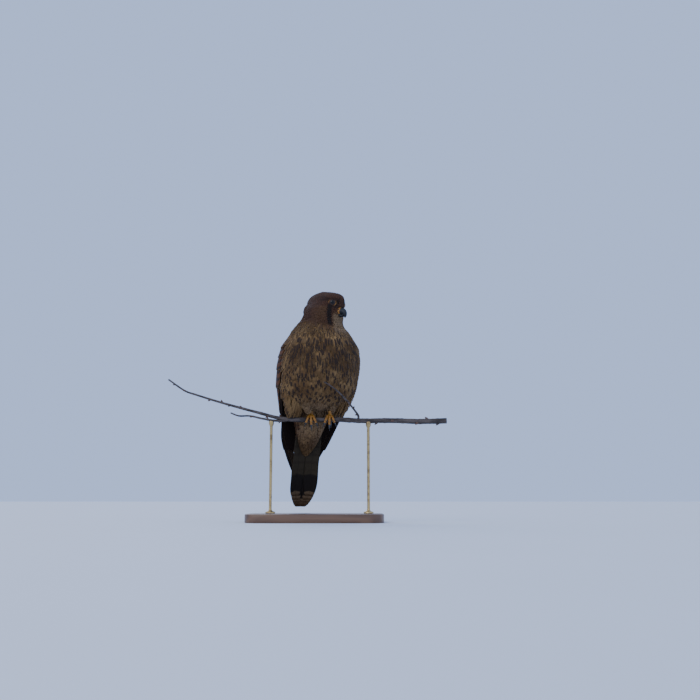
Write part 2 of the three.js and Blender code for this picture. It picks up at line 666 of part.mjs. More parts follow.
const kestrel = new THREE.Group();
const body = new THREE.Group();
body.position.set(BODY_X, PERCH_BACK, PERCH_HEIGHT);
body.rotation.z = radians(BODY_TURN);
const head = new THREE.Group();
head.applyMatrix4(BODY_TO_HEAD);
body.add(head);
const perch = new THREE.Group();
perch.position.set(0, PERCH_BACK, PERCH_HEIGHT);
kestrel.add(body, perch);

addNode(body, 'torso', torsoSolid(), 'breast');
addNode(body, 'neck', neckSolid(), 'crown');
const thighs = fuse(Object.keys(LEGS).map((side) => thighSolid(side, GAP)));
addNode(body, 'undertail_coverts', ventSolid().subtract(thighs), 'thigh');
addNode(body, 'uppertail_coverts', rumpSolid(), 'wing');
addNode(body, 'tail', tailSolid(), 'tail');

addNode(head, 'head', headSolid(), 'crown');
addNode(head, 'cere', cereSolid().subtract(fuse([headBall(GAP), nostrilHoles()])), 'skin');
addNode(head, 'bill_upper', upperBill().subtract(lowerBill(GAP)), 'horn');
addNode(head, 'bill_lower', lowerBill().subtract(fuse([headBall(GAP), cereSolid(GAP)])), 'horn');

for (const side of Object.keys(LEGS)) {
  const { middle } = eyeFrame(side);
  addNode(head, `eye_${side}`, egg(middle, EYE.radius, EYE.radius, EYE.radius, 14), 'eye');
  addNode(body, `wing_${side}`, wingSolid(side), 'wing');
  addNode(body, `thigh_${side}`, thighSolid(side).subtract(tarsus(side, GAP).transform(TWIG_TO_BODY.elements)), 'thigh');
  addNode(perch, `foot_${side}`, footSolid(side), 'skin');
  for (const toe of TOES) addNode(perch, `claw_${side}_${toe.name}`, clawSolid(toe, side), 'horn');
}

addNode(perch, 'perch', perchSolid(), 'bark');
addNode(perch, 'perch_low_shoot', lowShoot().subtract(perchSolid(GAP)), 'bark');
addNode(perch, 'perch_front_shoot', frontShoot().subtract(perchSolid(GAP)), 'bark');

addNode(kestrel, 'stand_base', standBase(), 'wood');
addNode(kestrel, 'stand_rod_right', standRod(ROD.right, lowShoot(GAP), PERCH_HEIGHT + 0.5), 'brass');
addNode(kestrel, 'stand_rod_left', standRod(ROD.left, perchSolid(GAP), PERCH_HEIGHT - 1.5), 'brass');

export default kestrel;
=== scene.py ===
"""A common kestrel perched upright on a cut twig over a plain stand, life size.

Shapes are worked out in millimetres. The bird has its own axes: it looks along -Y, +X is its left, and
heights are measured from the middle of the twig under its feet. The head has axes of its own.
"""

import bpy
import numpy as np
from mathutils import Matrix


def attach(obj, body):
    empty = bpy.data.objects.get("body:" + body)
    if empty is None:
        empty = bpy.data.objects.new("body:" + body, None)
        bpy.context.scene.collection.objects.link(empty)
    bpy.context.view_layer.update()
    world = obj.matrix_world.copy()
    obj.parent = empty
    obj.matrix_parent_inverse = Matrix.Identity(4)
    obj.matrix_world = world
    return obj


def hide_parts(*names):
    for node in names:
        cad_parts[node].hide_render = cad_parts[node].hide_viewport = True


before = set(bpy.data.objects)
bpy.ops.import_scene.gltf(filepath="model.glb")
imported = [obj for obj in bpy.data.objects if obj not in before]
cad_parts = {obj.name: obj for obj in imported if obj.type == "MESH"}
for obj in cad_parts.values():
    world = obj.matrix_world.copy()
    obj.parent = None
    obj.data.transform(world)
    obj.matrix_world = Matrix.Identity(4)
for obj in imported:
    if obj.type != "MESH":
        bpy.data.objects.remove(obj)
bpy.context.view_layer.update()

bl_info = {
    "name": "Perched Kestrel",
    "version": (1, 0, 0),
    "blender": (4, 5, 0),
    "location": "View3D > Sidebar > Kestrel",
    "description": "Builds a perched kestrel with its feathers, twig and stand",
    "category": "Add Mesh",
}

MILLIMETRE = 0.001
SIDES = {"left": 1, "right": -1}
TWIG_PLACE = np.array([0.0, -14.0, 142.0])
BODY_PLACE = np.array([3.0, -14.0, 142.0])
HEAD_PLACE = np.array([10.5, -18.0, 156.5])
BODY_TURN, HEAD_TURN, HEAD_BOW = 18, 34, 15


# Small mathematics


def turned(axis, degrees):
    """The matrix of a turn about X (0) or Z (2), by the right-hand rule."""
    c, s = np.cos(np.radians(degrees)), np.sin(np.radians(degrees))
    rows = {0: [[1, 0, 0], [0, c, -s], [0, s, c]], 2: [[c, -s, 0], [s, c, 0], [0, 0, 1]]}
    return np.array(rows[axis])


BODY_AXES = turned(2, BODY_TURN)
HEAD_AXES = turned(2, HEAD_TURN) @ turned(0, HEAD_BOW)


def body_to_world(p):
    return p @ BODY_AXES.T + BODY_PLACE


def head_to_body(p):
    return p @ HEAD_AXES.T + HEAD_PLACE


def body_to_head(p):
    return (p - HEAD_PLACE) @ HEAD_AXES


def twig_to_world(p):
    return p + TWIG_PLACE


def smooth(x, low, high):
    """0 below low, 1 above high, and 3t^2 - 2t^3 of the way t between them."""
    t = np.clip((x - low) / (high - low), 0, 1)
    return t * t * (3 - 2 * t)


def between(x, low, high, soft):
    """1 between two limits, fading to 0 over a soft width outside them."""
    return smooth(x, low - soft, low) * (1 - smooth(x, high, high + soft))


def mix(a, b, t):
    return a + (b - a) * t


def unit(v):
    return v / np.maximum(np.linalg.norm(v, axis=-1, keepdims=True), 1e-9)


def xyz(x, y, z):
    return np.stack(np.broadcast_arrays(x, y, z), -1).astype(float)


def through(places, values):
    """A curve through stations that never overshoots: cubic pieces whose slopes are harmonic means."""
    x, y = np.array(places, float), np.array(values, float)
    slope = np.diff(y) / np.diff(x)
    before, after = np.append(slope[0], slope), np.append(slope, slope[-1])
    both = before * after
    tangent = np.where(both > 0, 2 * both / np.where(both > 0, before + after, 1), 0)

    def curve(at):
        at = np.asarray(at, float)
        k = np.clip(np.searchsorted(x, at, side="right") - 1, 0, len(slope) - 1)
        span = x[k + 1] - x[k]
        t = np.clip((at - x[k]) / span, 0, 1)
        bend = (1 - t) * (tangent[k] - slope[k]) - t * (tangent[k + 1] - slope[k])
        return mix(y[k], y[k + 1], t) + t * (1 - t) * span * bend

    return curve


def spline(stations, count):
    """Evenly spread points of a smooth curve through stations: cubic pieces with the chord between
    neighbours as tangent, then re-spaced by length."""
    p = np.array(stations, float)
    gap = np.linalg.norm(np.diff(p, axis=0), axis=1) ** 0.5
    at = np.append(0, np.cumsum(gap))
    padded = np.vstack([2 * p[0] - p[1], p, 2 * p[-1] - p[-2]])
    span = np.concatenate([gap[:1], gap, gap[-1:]])[:, None]
    chord = np.diff(padded, axis=0) / span
    tangent = (chord[:-1] * span[1:] + chord[1:] * span[:-1]) / (span[1:] + span[:-1])
    u = np.linspace(0, at[-1], 400)
    k = np.clip(np.searchsorted(at, u, side="right") - 1, 0, len(gap) - 1)
    t = ((u - at[k]) / gap[k])[:, None]
    g = gap[k][:, None]
    fine = (
        (2 * t**3 - 3 * t**2 + 1) * p[k]
        + (t**3 - 2 * t**2 + t) * g * tangent[k]
        + (3 * t**2 - 2 * t**3) * p[k + 1]
        + (t**3 - t**2) * g * tangent[k + 1]
    )
    length = np.append(0, np.cumsum(np.linalg.norm(np.diff(fine, axis=0), axis=1)))
    even = np.linspace(0, length[-1], count)
    return np.stack([np.interp(even, length, fine[:, i]) for i in range(3)], -1)


def ripple(p, scale, seed=0):
    """Smooth seeded noise between about -1 and 1 at points p: a sum of sine waves of mixed directions."""
    waves = np.random.default_rng(seed).normal(size=(9, 3))
    phase = np.random.default_rng(seed + 1).uniform(0, 6.3, 9)
    return np.sin(p @ waves.T * (2.2 / scale) + phase).mean(-1) * 2


# Meshes


def plate_faces(rows, columns):
    """Quads of one closed plate: an outer grid, an inner grid turned over, and a strip round their rims."""
    n = rows * columns
    grid = np.arange(n).reshape(rows, columns)
    a, b, c, d = grid[:-1, :-1], grid[:-1, 1:], grid[1:, 1:], grid[1:, :-1]
    outer = np.stack([a, b, c, d], -1).reshape(-1, 4)
    inner = outer[:, ::-1] + n
    rim = np.concatenate([grid[0], grid[1:, -1], grid[-1, -2::-1], grid[-2:0:-1, 0]])
    ahead = np.roll(rim, -1)
    return np.concatenate([outer, inner, np.stack([ahead, rim, rim + n, ahead + n], -1)])


def loft_faces(rings, around):
    """Quads and end fans of one closed loft, whose last two points are the middles of its ends."""
    grid = np.arange(rings * around).reshape(rings, around)
    a, b = grid[:-1], np.roll(grid[:-1], -1, 1)
    c, d = np.roll(grid[1:], -1, 1), grid[1:]
    walls = np.stack([a, b, c, d], -1).reshape(-1, 4)
    start = np.full(around, rings * around)
    first = np.stack([start, np.roll(grid[0], -1), grid[0], grid[0]], -1)
    last = np.stack([start + 1, grid[-1], np.roll(grid[-1], -1), np.roll(grid[-1], -1)], -1)
    return np.concatenate([walls, first, last])


class Shape:
    """Points, quads and per-point values of a mesh being made. A quad may repeat its first or last corner."""

    def __init__(self, points, faces, **values):
        self.points, self.faces, self.values = points, faces, values

    @classmethod
    def repeated(cls, points, faces, **values):
        """Many like meshes at once: points has one row per mesh and then its points."""
        count, size = points.shape[:2]
        shifts = (np.arange(count) * size)[:, None, None]
        flat = {key: np.broadcast_to(value, (count, size)).reshape(-1) for key, value in values.items()}
        return cls(points.reshape(-1, 3), (faces[None] + shifts).reshape(-1, 4), **flat)

    @classmethod
    def joined(cls, shapes):
        starts = np.cumsum([0] + [len(s.points) for s in shapes[:-1]])
        faces = np.concatenate([s.faces + start for s, start in zip(shapes, starts)])
        keys = shapes[0].values
        values = {key: np.concatenate([s.values[key] for s in shapes]) for key in keys}
        return cls(np.concatenate([s.points for s in shapes]), faces, **values)

    def outward(self):
        """The same shape with its faces turned round if the volume they enclose comes out negative."""
        p = self.points
        a, b, c, d = (p[self.faces[:, i]] for i in range(4))
        volume = (np.cross(a, b) * c).sum() + (np.cross(a, c) * d).sum()
        return self if volume > 0 else Shape(p, self.faces[:, ::-1], **self.values)

    def moved(self, place):
        return Shape(place(self.points), self.faces, **self.values)


def loft(rings, **values):
    """A closed body of rings: rings has one row per ring and then its points."""
    count, around = rings.shape[:2]
    ends = np.stack([rings[0].mean(0), rings[-1].mean(0)])
    full = {key: np.append(np.broadcast_to(v, (count, around)).ravel(), [np.ravel(v)[0], np.ravel(v)[-1]])
            for key, v in values.items()}
    return Shape(np.concatenate([rings.reshape(-1, 3), ends]), loft_faces(count, around), **full).outward()


def tube_rings(path, radius, around, flat=1.0, keel=0.0):
    """Rings about a path: a circle of the radius at each point, flat times as wide, its top narrowed by
    keel. Its sides are level or, where the path runs along X, upright."""
    along = unit(np.gradient(path, axis=0))
    reference = np.where(np.abs(along[:, :1]) > 0.9, [[0.0, 0.0, 1.0]], [[1.0, 0.0, 0.0]])
    across = unit(reference - along * (reference * along).sum(-1, keepdims=True))
    angle = np.linspace(0, 2 * np.pi, around, endpoint=False)
    r = np.broadcast_to(np.asarray(radius, float).T, (around, len(path))).T[..., None]
    width = (np.cos(angle) * (1 - keel * np.maximum(np.sin(angle), 0)))[None, :, None]
    upward = r * np.sin(angle)[None, :, None] * np.cross(along, across)[:, None]
    return path[:, None] + r * flat * width * across[:, None] + upward


def tube(path, radius, around=12, flat=1.0, keel=0.0):
    """A closed round rod with the way along it from 0 to 1 as a value."""
    return loft(tube_rings(path, radius, around, flat, keel), along=np.linspace(0, 1, len(path))[:, None])


def ball(middle, sizes, around=24, axes=None):
    """A closed ellipsoid: rings at even angles from pole to pole, turned by axes."""
    rise = np.linspace(-np.pi / 2 + 0.02, np.pi / 2 - 0.02, around // 2 + 1)[:, None]
    turn = np.linspace(0, 2 * np.pi, around, endpoint=False)[None]
    p = xyz(np.cos(rise) * np.cos(turn), np.cos(rise) * np.sin(turn), np.sin(rise)) * sizes
    if axes is not None:
        p = p @ axes.T
    return loft(p + middle, along=(rise / np.pi + 0.5))


def mesh_of(name, points, faces):
    """A smooth mesh and its faces' corners. A quad that repeats its first or last corner is a triangle."""
    keep = np.ones(faces.shape, bool)
    keep[:, 0] = faces[:, 0] != faces[:, 1]
    keep[:, 3] = faces[:, 2] != faces[:, 3]
    corners, counts = faces[keep], keep.sum(1)
    mesh = bpy.data.meshes.new(name)
    mesh.vertices.add(len(points))
    mesh.loops.add(len(corners))
    mesh.polygons.add(len(counts))
    mesh.vertices.foreach_set("co", points.ravel())
    mesh.loops.foreach_set("vertex_index", corners)
    mesh.polygons.foreach_set("loop_start", np.append(0, np.cumsum(counts)[:-1]))
    mesh.polygons.foreach_set("use_smooth", np.ones(len(counts), bool))
    mesh.update()
    return mesh, corners


def make_piece(name, shape, material, replaced=()):
    """Puts a shape into the scene in metres, as a piece that rides on the model and carries its values."""
    shape = shape.outward()
    mesh, corners = mesh_of(name, shape.points * MILLIMETRE, shape.faces)
    for key, value in shape.values.items():
        if key not in ("u", "v"):
            layer = mesh.attributes.new(key, "FLOAT", "POINT")
            layer.data.foreach_set("value", np.ascontiguousarray(value, np.float32))
    if "u" in shape.values:
        places = np.stack([shape.values["u"][corners], shape.values["v"][corners]], -1)
        mesh.uv_layers.new(name="OFBake").data.foreach_set("uv", places.ravel())
    mesh.validate()
    mesh.materials.append(material)
    piece = bpy.data.objects.new(name, mesh)
    bpy.context.scene.collection.objects.link(piece)
    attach(piece, "root")
    if replaced:
        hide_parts(*replaced)


# The bird's surface. Level slices of the folded wings, body and neck together, from the wing tips to the
# head: each is as wide as half on either side of its middle, at the depth wide, and reaches forward to
# front and backward to back.

SLICE_HEIGHTS = [-84, -50, -25, 0, 24, 47, 75, 98, 110, 122, 130, 138, 146, 154]
SLICES = {
    "middle": through(SLICE_HEIGHTS, [-4, -5.2, -4.5, -2.4, -1.4, -1, 0, 1.2, 1.2, 0.6, 0, 1, 2, 2.5]),
    "half": through(SLICE_HEIGHTS, [11, 27.5, 38, 44, 51, 56, 57.5, 54.5, 48.8, 41, 34.5, 29, 26, 22.5]),
    "wide": through(SLICE_HEIGHTS, [69, 55, 43, 26, 11, 3, -3, -5, -6, -7, -8, -11, -14, -16]),
    "back": through(SLICE_HEIGHTS, [76, 67, 62, 58, 55, 52, 46, 39, 33, 25, 19.5, 15, 11, 7]),
    "front": through(SLICE_HEIGHTS, [62, 48, 34, -2, -31, -44, -51, -50, -47, -43, -40, -38.5, -38, -37]),
}
WING_DEPTH = 4.8
wing_front = through([-84, 0, 20, 45, 75, 100, 112, 119], [91, 91, 88, 80, 75, 76, 82, 97])
wing_back = through([-84, 60, 85, 100, 112, 119], [173, 172, 164, 152, 137, 118])


def outline(height, turn, lift=0.0):
    """A point of the outline at a height and a turn in degrees, 0 at the breast, 90 at the left side and
    180 at the back: on each slice's two half ellipses, raised by lift along their normal."""
    angle = np.radians(turn)
    half, wide = SLICES["half"](height), SLICES["wide"](height)
    deep = np.where(np.cos(angle) > 0, wide - SLICES["front"](height), SLICES["back"](height) - wide)
    normal = unit(xyz(np.sin(angle) / half, -np.cos(angle) / deep, 0))
    p = xyz(SLICES["middle"](height) + half * np.sin(angle), wide - deep * np.cos(angle), height)
    return p + normal * np.asarray(lift)[..., None]


def joined_field(fields, soft):
    """The smooth union of distances: minus soft times the logarithm of the sum of exp(-distance / soft)."""
    stack = np.stack(np.broadcast_arrays(*fields))
    low = stack.min(0)
    return low - soft * np.log(np.exp((low - stack) / soft).sum(0))


def ellipse_field(x, y, a, b):
    """About the distance from an ellipse: (q - 1) over the slope of q, with q the scaled radius."""
    q = np.hypot(x / a, y / b)
    return (q - 1) * q / np.maximum(np.hypot(x / a**2, y / b**2), 1e-4)


def under_wing(height, turn):
    """1 where a folded wing lies over the body and 0 elsewhere."""
    folded = np.abs(turn)
    front, back = wing_front(height), wing_back(height)
    under = smooth(folded, front - 9, front + 3) * (1 - smooth(folded, back - 3, back + 4))
    return under * (1 - smooth(height, 112, 121)) * smooth(height, -10, 10)


def slice_turn(p):
    """The turn in degrees of a point about its slice's middle."""
    x = p[..., 0] - SLICES["middle"](p[..., 2])
    return np.degrees(np.arctan2(x, SLICES["wide"](p[..., 2]) - p[..., 1]))


TORSO_LOW, TORSO_CLOSES, TORSO_HIGH = 13, 38, 154


def kept_share(height):
    """How much of its width a slice of the body keeps: all above TORSO_CLOSES, then a quarter ellipse."""
    below = (TORSO_CLOSES - height) / (TORSO_CLOSES - TORSO_LOW)
    return np.sqrt(np.maximum(0.01, 1 - np.clip(below, 0, 1) ** 2))


def torso_field(p):
    """About the distance from the body and neck, with room under the wings: each slice is an ellipse."""
    height = np.clip(p[..., 2], TORSO_LOW, TORSO_HIGH)
    keep, wide = kept_share(height), SLICES["wide"](height)
    y = p[..., 1] - (wide - 4 + 4 * keep)
    deep = np.where(y < 0, wide - SLICES["front"](height), SLICES["back"](height) - wide)
    x = p[..., 0] - SLICES["middle"](height) * keep
    level = ellipse_field(x, y, SLICES["half"](height) * keep, deep * keep)
    return level + WING_DEPTH * under_wing(height, slice_turn(p)) + np.abs(p[..., 2] - height)


HEAD = {"front": 21.5, "back": 38.0, "half": 19.5, "up": 22.5, "down": 24.0, "fullness": 0.84, "crown": 7.0}
EYE = {"radius": 6.1, "turn": 46, "rise": 19, "sunk": 4.6}


def head_surface(turn, rise):
    """A point of the head in its own axes: turn is 0 at the bill and 90 at its left, rise is 90 on top."""
    upward = np.sign(rise) * np.abs(np.sin(np.radians(rise))) ** HEAD["fullness"]
    level = np.cos(np.radians(rise)) ** HEAD["fullness"]
    ahead = np.cos(np.radians(turn))
    low = max(0.0, -upward)
    length = HEAD["front"] + 4 * low if ahead > 0 else HEAD["back"] + 15 * low
    tall = HEAD["up"] if upward > 0 else HEAD["down"]
    x = (HEAD["half"] + 5 * low) * level * np.sin(np.radians(turn))
    return np.array([x, -length * level * ahead - HEAD["crown"] * max(0.0, upward) ** 2, tall * upward])


def head_field(p):
    """About the distance from the head: scaled radius of an egg whose crown leans forward and whose lower
    half is fuller, with a bony brow over each eye."""
    q = body_to_head(p)
    upward = np.clip(np.where(q[..., 2] > 0, q[..., 2] / HEAD["up"], q[..., 2] / HEAD["down"]), -1.5, 1.5)
    low = np.clip(-upward, 0, 1)
    y = q[..., 1] + HEAD["crown"] * np.clip(upward, 0, 1) ** 2
    length = np.where(y < 0, HEAD["front"] + 4 * low, HEAD["back"] + 15 * low)
    power = 2 / HEAD["fullness"]
    radius = np.hypot(q[..., 0] / (HEAD["half"] + 5 * low), y / length)
    head = ((radius**power + np.abs(upward) ** power) ** (1 / power) - 1) * 22
    return joined_field([head, *(brow_field(q, s) for s in SIDES.values())], 0.8)


def brow_field(q, s):
    """A ridge from the cere's upper edge to behind the eye: distance from a segment, less its radius."""
    front, back = head_surface(18 * s, 33) * 0.93, head_surface(82 * s, 34) * 0.93
    return segment_field(q, front, back, 1.6, 2.2)


def segment_field(p, a, b, ra, rb):
    """Distance from a segment, less a radius that runs from ra at a to rb at b."""
    t = np.clip(((p - a) @ (b - a)) / ((b - a) @ (b - a)), 0, 1)
    return np.linalg.norm(p - a - t[..., None] * (b - a), axis=-1) - mix(ra, rb, t)


ANKLES = {"left": 18.0, "right": -10.0}
THIGHS = {"left": 20.0, "right": -22.0}


def thigh_field(p, side):
    top = np.array([THIGHS[side], -11.0, 33.0])
    low = np.array([mix(ANKLES[side], THIGHS[side], 0.35), -1.0, 13.0])
    return segment_field(p, low, top, 5.2, 14.5)


TAIL = {
    "x": -3.5, "y": 20.0, "height": 46.0, "slope": 19.5,
    "length": 177.0, "width": 41.0, "feather": 20.0, "count": 12,
}
TAIL_ALONG = np.array([0, np.sin(np.radians(TAIL["slope"])), -np.cos(np.radians(TAIL["slope"]))])
TAIL_LIFT = np.array([0, np.cos(np.radians(TAIL["slope"])), np.sin(np.radians(TAIL["slope"]))])


def tail_point(along, across, lift):
    """A point in the tail's sloping frame: along runs to the tip, across to the left and lift to the back."""
    arched = np.asarray(lift - 0.012 * across**2)
    base = xyz(across + TAIL["x"] * np.minimum(1, along / 90), TAIL["y"], TAIL["height"])
    return base + np.asarray(along)[..., None] * TAIL_ALONG + arched[..., None] * TAIL_LIFT


vent_half = through([0, 0.35, 0.7, 1], [31, 25, 16, 9])
vent_depth = through([0, 0.17, 0.39, 0.52, 0.78, 1], [18, 18, 20, 20, 13, 4])
rump_half = through([0, 0.5, 1], [26, 18, 10])
rump_depth = through([0, 0.5, 1], [22, 11, 3])
COVERTS = [(-1, 98, vent_half, vent_depth), (1, 84, rump_half, rump_depth)]


def coverts_taper(t):
    """How a wedge of coverts closes towards its end: a quarter ellipse over its last part."""
    return np.sqrt(np.maximum(0.05, 1 - np.clip((t - 0.72) / 0.29, 0, 1) ** 2))


def coverts_field(p, face, reach, half, depth):
    """Distance from the wedge of coverts under (face -1) or over (1) the tail: half ellipses across it."""
    q = p - np.array([0, TAIL["y"], TAIL["height"]])
    along = q @ TAIL_ALONG
    lift = (q @ TAIL_LIFT + 1.6) * face - 2
    x = q[..., 0] - TAIL["x"] * np.clip(along / 90, 0, 1)
    t = np.clip((along - 8) / (reach - 8), 0, 1)
    taper = coverts_taper(t)
    deep = np.where(lift > 0, depth(t), 1.5) * taper
    beyond = np.maximum(along - reach, 0) + np.maximum(8 - along, 0)
    return ellipse_field(x, lift, half(t) * taper, deep) + beyond


NECK_SOFT, PART_SOFT = 3.2, 1.6


def bird_field(p):
    """About the distance in millimetres from the bird's surface, negative inside: the smooth union of torso
    and neck, head, thighs and the coverts at the tail's root."""
    trunk = joined_field([torso_field(p), head_field(p)], NECK_SOFT)
    legs = [thigh_field(p, side) for side in SIDES]
    coverts = [coverts_field(p, *wedge) for wedge in COVERTS]
    return joined_field([trunk, *legs, *coverts], PART_SOFT)


def slope_of(field, p):
    """The gradient of a field at points, by central differences of 0.2 mm."""
    steps = np.eye(3) * 0.2
    return np.stack([(field(p + d) - field(p - d)) / 0.4 for d in steps], -1)


def settle(p, level, times=3):
    """Moves points along the bird's normals until its field has the wanted level there."""
    for _ in range(times):
        grade = slope_of(bird_field, p)
        size = np.maximum((grade**2).sum(-1), 0.2)
        p = p - ((bird_field(p) - level) / size)[..., None] * grade
    return p


# Markings: how much of each colour a place on the bird has, alike for its skin and its feathers


def markings(p):
    """Values from 0 to 1 at points in the bird's axes: upper for the back's chestnut, crown for the head's
    rufous, pale for throat, thighs and vent, faded out below the twig as painted shade, dark for the stripe
    below the eye, the lores and the line over the eye, that line partly painted shade under the brow, and,
    less, for painted shade under the tail, marked for streaks, drop for spots and nape for paler feather
    edges round the neck."""
    q = body_to_head(p)
    height, high = p[..., 2], q[..., 2]
    head = smooth(high - 0.1 * q[..., 1], -25, -14)
    turn = np.abs(slice_turn(p))
    upper = smooth(turn, 96, 112) * (1 - head) * smooth(height, -60, 40)
    side = np.degrees(np.arctan2(np.abs(q[..., 0]), -q[..., 1]))
    throat = (1 - smooth(side, 20, 31)) * (1 - smooth(high, -7, -2))
    cheek = between(side, 54, 84, 10) * between(high, -14, -1, 5)
    stripe = between(side - 0.2 * high, 35, 45, 5) * between(high, -19, 4, 3)
    lore = between(side, 12, 32, 5) * between(high, 2, 9, 2)
    # The line over the eye is partly the bird's own dark line and partly painted shade under the brow ridge.
    brow_line_and_shade = between(side, 10, 75, 8) * between(high, 9, 12, 2.5)
    legs = smooth(-height, -36, -24) * (1 - upper) * (1 - smooth(turn, 42, 58) * smooth(height, 0, 12))
    face_dark = np.clip(stripe + 0.6 * lore + 0.55 * brow_line_and_shade, 0, 1) * head
    return {
        "upper": upper,
        "crown": head * (1 - throat) * (1 - 0.3 * cheek),
        # Below the twig pale fades out and dark comes in at 0.35: painted shade under the tail, over vent and
        # coverts.
        "pale": np.maximum(throat * smooth(high, -34, -22), 0.6 * legs * smooth(height, -34, 4)),
        "dark": face_dark + 0.35 * smooth(-height, -8, 30) * (1 - upper),
        "marked": (1 - legs) * (1 - 0.85 * throat * head),
        "drop": 1 - smooth(height, 60, 90),
        "nape": smooth(height, 96, 122) * (1 - head),
    }


# Feathers


def lie(p):
    """The way feathers point: back from the bill over the head, down the body and along the tail below."""
    q = body_to_head(p)
    from_bill = unit(q - np.array([0, -27.0, -1.0])) @ HEAD_AXES.T
    falling = smooth(0.2 * q[..., 1] - q[..., 2], 4, 22)[..., None]
    down = np.array([0.0, 0.16, -1.0]) + 0.28 * smooth(-p[..., 2:], -45, 0) * np.array([0.0, 1.0, 0.0])
    return unit(mix(from_bill, unit(down), falling))


def scattered(points, spacing, seed):
    """Picks one point in each cell of a grid, which leaves them about a spacing apart."""
    rng = np.random.default_rng(seed)
    order = rng.permutation(len(points))
    cells = np.floor((points[order] + rng.uniform(0, spacing, 3)) / spacing).astype(np.int64)
    _, first = np.unique(cells, axis=0, return_index=True)
    return points[order[first]]


def vane_width(t, point):
    """A vane's half width as a share of its widest: rises from the quill, then closes in a rounded tip."""
    closing = np.clip(1 - np.clip((t - point) / (1.03 - point), 0, 1) ** 2.2, 0, 1)
    return (0.35 + 0.65 * smooth(t, 0, 0.5)) * np.sqrt(closing)


# A body feather's patch of the bake map, the level of its root and its number of rings

PATCH_WIDE, PATCH_LONG = 0.0015, 0.003
ROOT_LEVEL = -0.9
VANE_STEPS = 7


def body_unwrap(p):
    """Where a root lies on the unwrapped skin of the body: its turn round the slice and its height."""
    return slice_turn(p) / 360 + 0.5, (p[:, 2] + 60) / 260


def head_unwrap(p):
    """Where a root lies on the unwrapped skin of the head: its turn round the head and its rise."""
    q = unit(body_to_head(p))
    return np.arctan2(q[:, 0], -q[:, 1]) / 6.4 + 0.5, np.arcsin(np.clip(q[:, 2], -1, 1)) / 3.2 + 0.5


def body_feathers(roots, length, width, rise, seed, unwrap=body_unwrap):
    """Small closed vanes that lie along the bird: each steps down the lie of the coat from its root, and its
    height over the surface goes from ROOT_LEVEL to rise, with its edges a little lower than its middle."""
    rng = np.random.default_rng(seed)
    n = len(roots)
    length = length * rng.uniform(0.85, 1.15, n)
    width = width * rng.uniform(0.88, 1.12, n)
    sway = rng.normal(0, 0.13, n)[:, None]
    ways = np.linspace(0, 1, VANE_STEPS)
    p = settle(roots, ROOT_LEVEL, 2)
    rows = []
    for i, t in enumerate(ways):
        normal = unit(slope_of(bird_field, p))
        heading = lie(p)
        heading = unit(heading - normal * (heading * normal).sum(-1, keepdims=True))
        side = np.cross(normal, heading)
        heading = unit(heading + side * sway)
        side = np.cross(normal, heading)
        half = (width / 2 * vane_width(t, 0.45))[:, None]
        level = mix(ROOT_LEVEL, rise, t**0.8)
        lifted = settle(p, level, 1)
        crown = 0.06 * width[:, None] + 0.08
        left = settle(lifted - side * half, level - 0.05 * width, 1)
        right = settle(lifted + side * half, level - 0.05 * width, 1)
        rows.append(np.stack([left, lifted + normal * crown, right, lifted - normal * 0.18], 1))
        if i + 1 < len(ways):
            p = settle(p + heading * (length * (ways[i + 1] - t))[:, None], 0, 1)
    rings = np.stack(rows, 1)
    ends = np.stack([rings[:, 0].mean(1), rings[:, -1].mean(1)], 1)
    points = np.concatenate([rings.reshape(n, -1, 3), ends], 1)
    along = np.append(np.repeat(ways, 4), [0, 1])
    across = np.append(np.tile([-1.0, 0.0, 1.0, 0.0], len(ways)), [0, 0])
    marks = {key: value[:, None] for key, value in markings(roots).items()}
    u, v = (place[:, None] for place in unwrap(roots))
    u, v = u + PATCH_WIDE * across, v + PATCH_LONG * along
    tone = rng.uniform(0, 1, (n, 1))
    faces = loft_faces(len(ways), 4)
    return Shape.repeated(points, faces, along=along, across=across, tone=tone, u=u, v=v, **marks)


def long_feathers(surface, root, tip, width, lifts, grid, pointed, seed, kind=0.0):
    """Wing or tail feathers as closed plates of rows and columns on a surface. root and tip give each
    feather's two coordinates there, between which it runs; its width narrows to the quill and the tip, from
    pointed on; lifts are its heights at root and tip."""
    rng = np.random.default_rng(seed)
    n, (rows, columns) = len(root), grid
    t = np.linspace(0, 1, rows)[None, :, None] ** 0.9
    v = np.linspace(-1, 1, columns)[None, None, :]
    first = mix(root[:, 0, None, None], tip[:, 0, None, None], t)
    second = mix(root[:, 1, None, None], tip[:, 1, None, None], t)
    nearby = surface(first, second + 0.5, 0 * first) - surface(first, second - 0.5, 0 * first)
    per_step = np.linalg.norm(nearby, axis=-1)
    shape = vane_width(t, pointed)
    waves, phase = rng.uniform(14, 30, (n, 1, 1)), rng.uniform(0, 6, (n, 1, 1))
    fray = 1 + 0.03 * np.sin(t * waves + phase) * np.abs(v) ** 3
    half = 0.5 * width[:, None, None] * shape * fray
    low, high = lifts[:, 0, None, None], lifts[:, 1, None, None]
    crown = 0.5 * (1 - v**2) + 0.28 * np.exp(-((v / 0.09) ** 2)) * (1 - 0.7 * t)
    lift = mix(low, high, t) + crown
    thick = 0.18 + 0.3 * (1 - v**2)
    places = second + v * half / per_step
    outer, inner = surface(first, places, lift), surface(first, places, lift - thick)
    points = np.concatenate([outer.reshape(n, -1, 3), inner.reshape(n, -1, 3)], 1)
    size = rows * columns
    along = np.tile(np.broadcast_to(t, (1, rows, columns)).reshape(size), 2)
    across = np.tile(np.broadcast_to(v, (1, rows, columns)).reshape(size), 2)
    chord = surface(tip[:, 0], tip[:, 1], lifts[:, 1]) - surface(root[:, 0], root[:, 1], lifts[:, 0])
    return Shape.repeated(
        points,
        plate_faces(rows, columns),
        along=along,
        across=across,
        under=np.repeat([0.0, 1.0], size),
        reach=np.linalg.norm(chord, axis=-1)[:, None] * (1 - along),
        tone=rng.uniform(0, 1, (n, 1)),
        kind=np.full((n, 1), kind),
    )


FLANK_GRID, FLANK_LENGTH = (7, 3), 14


